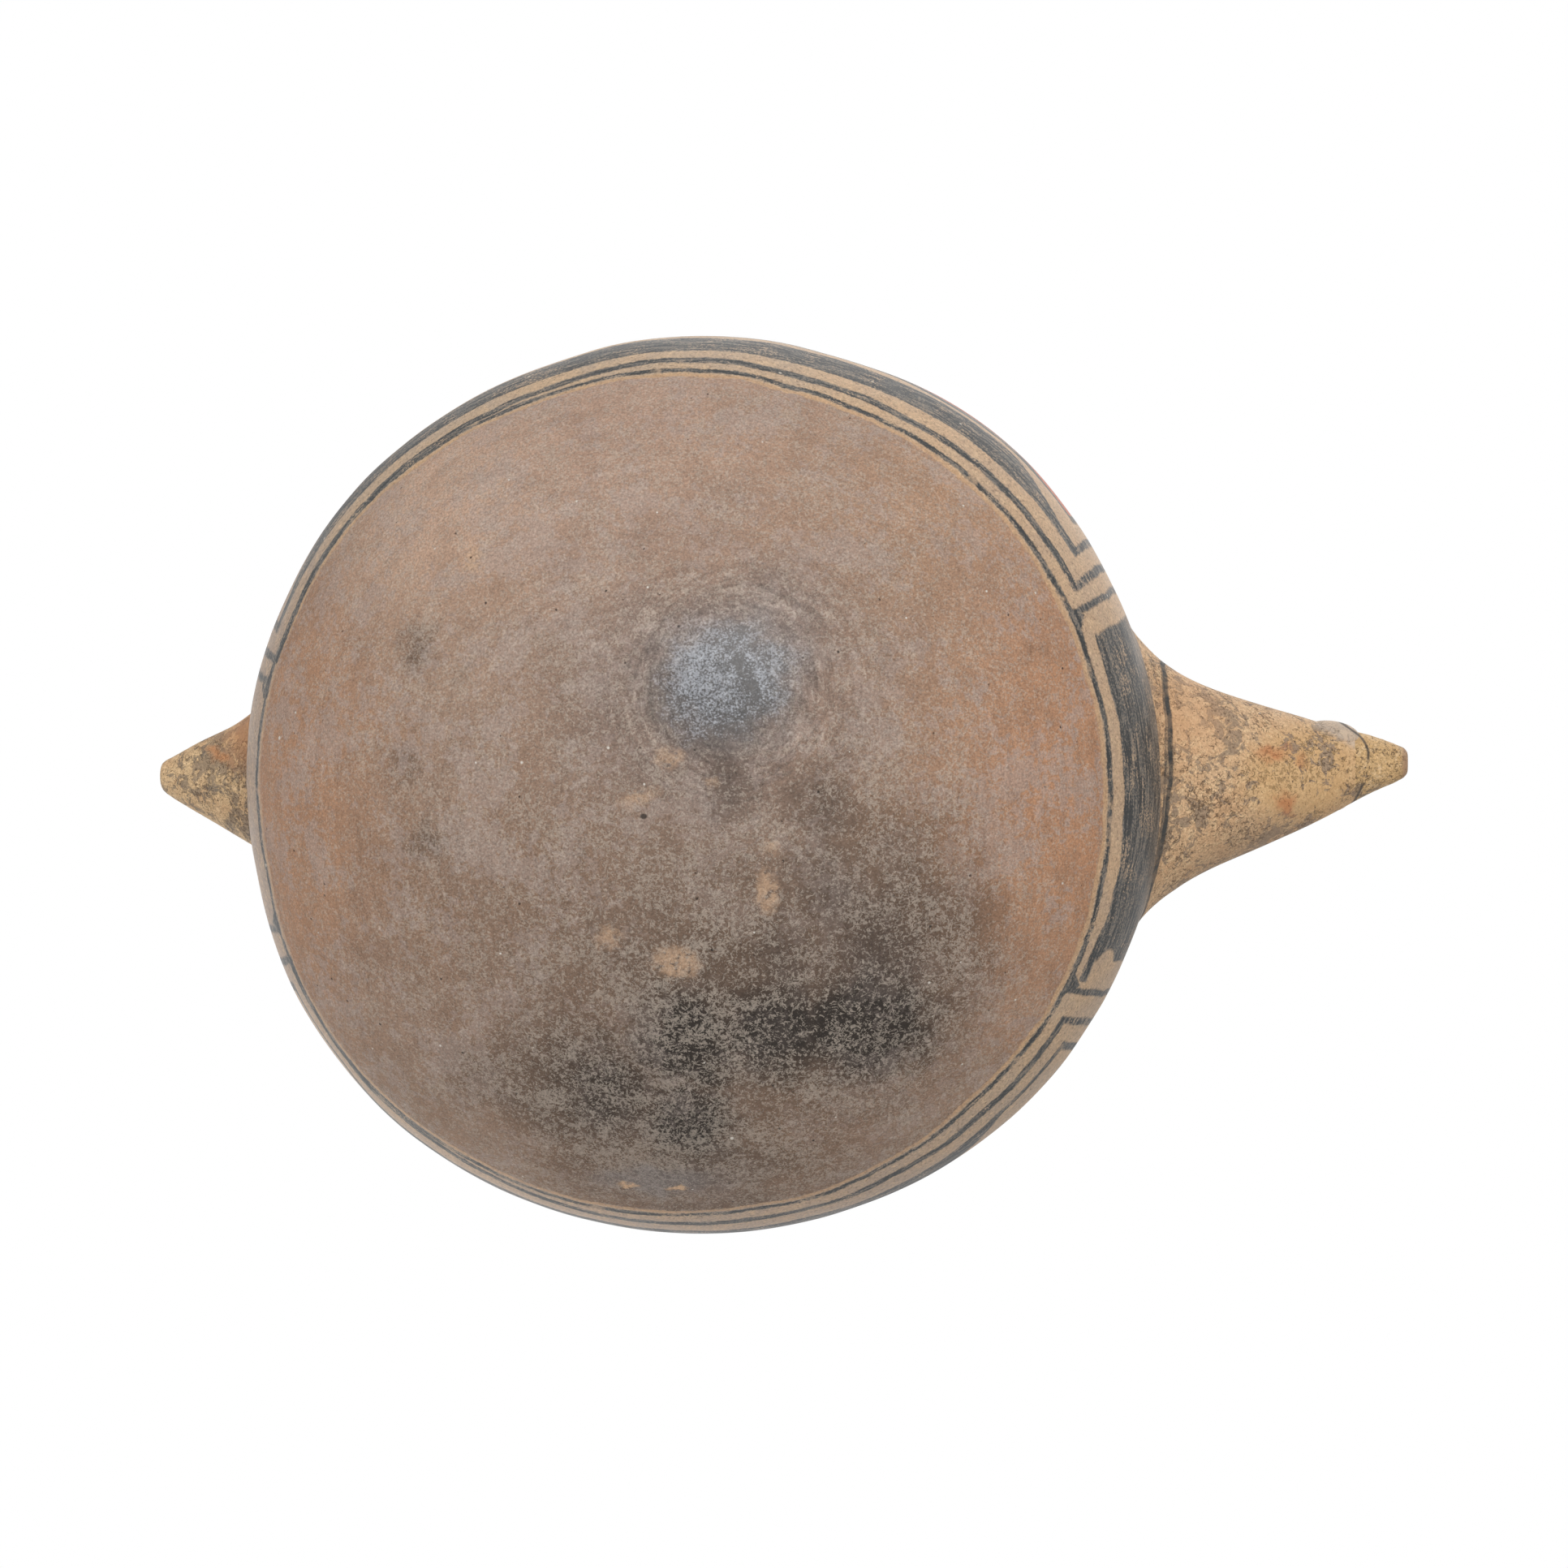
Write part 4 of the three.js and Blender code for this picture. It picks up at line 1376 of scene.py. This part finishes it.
def finish_tail():
    f = Finish("tail_ochre")
    coat, scuffed, pitted, grain = worn_ochre(f, TAIL_OCHRE, TAIL_LIGHT, 0.06)
    patches = f.noise(3, 4, 0.7, 0.5, shift=30).rise(0.56, 0.6) * (f.x - f.y * 0.8).fall(-88, -82)
    coat = f.coats(coat, (f.blots(f.wander(3, 4), TAIL_WARM, 0.2) * 0.75, TAIL_ORANGE),
                   (patches * 0.65, TAIL_GREY), (f.dots(2.6, 0.35, 0.2, shift=6) * 0.6, TAIL_TEMPER))
    return complete_ochre(f, coat, grain, scuffed * 0.06 + pitted * 0.1)


FINISHES = {"head_shell": head_clay, "left_eye": head_clay, "right_eye": head_clay, "beak": finish_beak(),
            "tail": finish_tail()}
for name, piece in pieces.items():
    piece.data.materials.append(FINISHES.get(name, bowl_clay))
print("finishes:", {name: piece.data.materials[0].name for name, piece in pieces.items()})

# %% [markdown]
# ## The camera
# The bowl was photographed from straight below, with the head to the right. The camera is under the bowl,
# a metre away with a long lens, and its three directions are written out.

# %% Camera
CAMERA_PLACE = Vector((118.575, -105.621, -1032.582)) * MM
CAMERA_RIGHT = Vector((0.99555, 0.00629, 0.09398))
CAMERA_UP = Vector((-0.00275, -0.99539, 0.09586))
LENS_LENGTH = 139
SENSOR_WIDTH = 36
NEAREST, FARTHEST = 0.05, 20

lens = bpy.data.cameras.new("camera")
lens.lens = LENS_LENGTH
lens.sensor_width = SENSOR_WIDTH
lens.clip_start = NEAREST
lens.clip_end = FARTHEST
camera = bpy.data.objects.new("camera", lens)
bpy.context.scene.collection.objects.link(camera)
camera_turn = Matrix((CAMERA_RIGHT, CAMERA_UP, CAMERA_RIGHT.cross(CAMERA_UP))).transposed()
camera.matrix_world = Matrix.Translation(CAMERA_PLACE) @ camera_turn.to_4x4()
bpy.context.scene.camera = camera
print("camera distance:", round(CAMERA_PLACE.length, 3), "m")

# %% [markdown]
# ## The floor
# The floor is pale paper. It shows only from above, so that the camera under the bowl looks through it,
# and it throws neither light nor shade on the bowl.

# %% Floor
FLOOR_HALF = 4
FLOOR_DROP = 0.2 * MM
PAPER = (0.8, 0.8, 0.8, 1)
PAPER_ROUGHNESS = 0.9


def make_floor():
    bm = bmesh.new()
    bmesh.ops.create_grid(bm, x_segments=2, y_segments=2, size=FLOOR_HALF)
    bmesh.ops.translate(bm, vec=(0, 0, -FLOOR_DROP), verts=bm.verts)
    floor = new_piece("floor", bm)
    for ray in ("diffuse", "glossy", "transmission", "shadow"):
        setattr(floor, "visible_" + ray, False)
    material = bpy.data.materials.new("pale_floor")
    floor.data.materials.append(material)
    nodes = Nodes(material)
    paper = nodes.tree.nodes["Principled BSDF"]
    paper.inputs["Base Color"].default_value = PAPER
    paper.inputs["Roughness"].default_value = PAPER_ROUGHNESS
    from_below = nodes.node("NewGeometry", {}, {}, "Backfacing")
    clear = nodes.node("BsdfTransparent", {}, {})
    seen = {"Fac": from_below, 1: Signal(nodes, paper.outputs["BSDF"]), 2: clear}
    nodes.show(nodes.node("MixShader", {}, seen), "Material Output")


make_floor()
print("the floor is", 2 * FLOOR_HALF, "m wide")

# %% [markdown]
# ## Lamps and world
# Wide lamps above and below give the even light of a studio, and one of them stands to one side of the
# camera, where its reflection lies on the worn patch of the bottom. The world is white to the eye and in
# reflections, and lights the bowl with less than that.

# %% Lamps and world
WORLD_STRENGTH = 0.46
WHITE = (1, 1, 1, 1)
AIM = Vector((0, 0, 45 * MM))
LAMPS = (("key_below", (0.26, -0.68, -1.05), 0.65, 8.6), ("fill_below", (-0.6, 0.5, -1.3), 1.6, 4.6),
         ("key_above", (0.5, -0.9, 1.5), 2.0, 14), ("fill_above", (-0.9, 0.7, 1.3), 1.8, 8))


def softbox(name, place, size, power):
    """A square lamp that looks at the middle of the bowl."""
    lamp = bpy.data.lights.new(name, "AREA")
    lamp.size = size
    lamp.energy = power
    box = bpy.data.objects.new(name, lamp)
    bpy.context.scene.collection.objects.link(box)
    box.location = place
    box.rotation_mode = "QUATERNION"
    box.rotation_quaternion = (AIM - Vector(place)).to_track_quat("-Z", "Y")


def make_world():
    world = bpy.data.worlds.new("studio")
    bpy.context.scene.world = world
    nodes = Nodes(world)
    seen = nodes.node("LightPath", {}, {}, "Is Camera Ray")
    for ray in ("Is Glossy Ray", "Is Transmission Ray"):
        seen = seen.either(nodes.node("LightPath", {}, {}, ray))
    soft = nodes.node("Background", {}, {"Color": WHITE, "Strength": WORLD_STRENGTH})
    white = nodes.node("Background", {}, {"Color": WHITE})
    nodes.show(nodes.node("MixShader", {}, {"Fac": seen, 1: soft, 2: white}), "World Output")


make_world()
for lamp in LAMPS:
    softbox(*lamp)
bpy.context.scene.view_settings.view_transform = "Standard"
print("lamps:", [lamp[0] for lamp in LAMPS])

# %% [markdown]
# ## Sizes
# The clay must stay within the size that the frame gives.
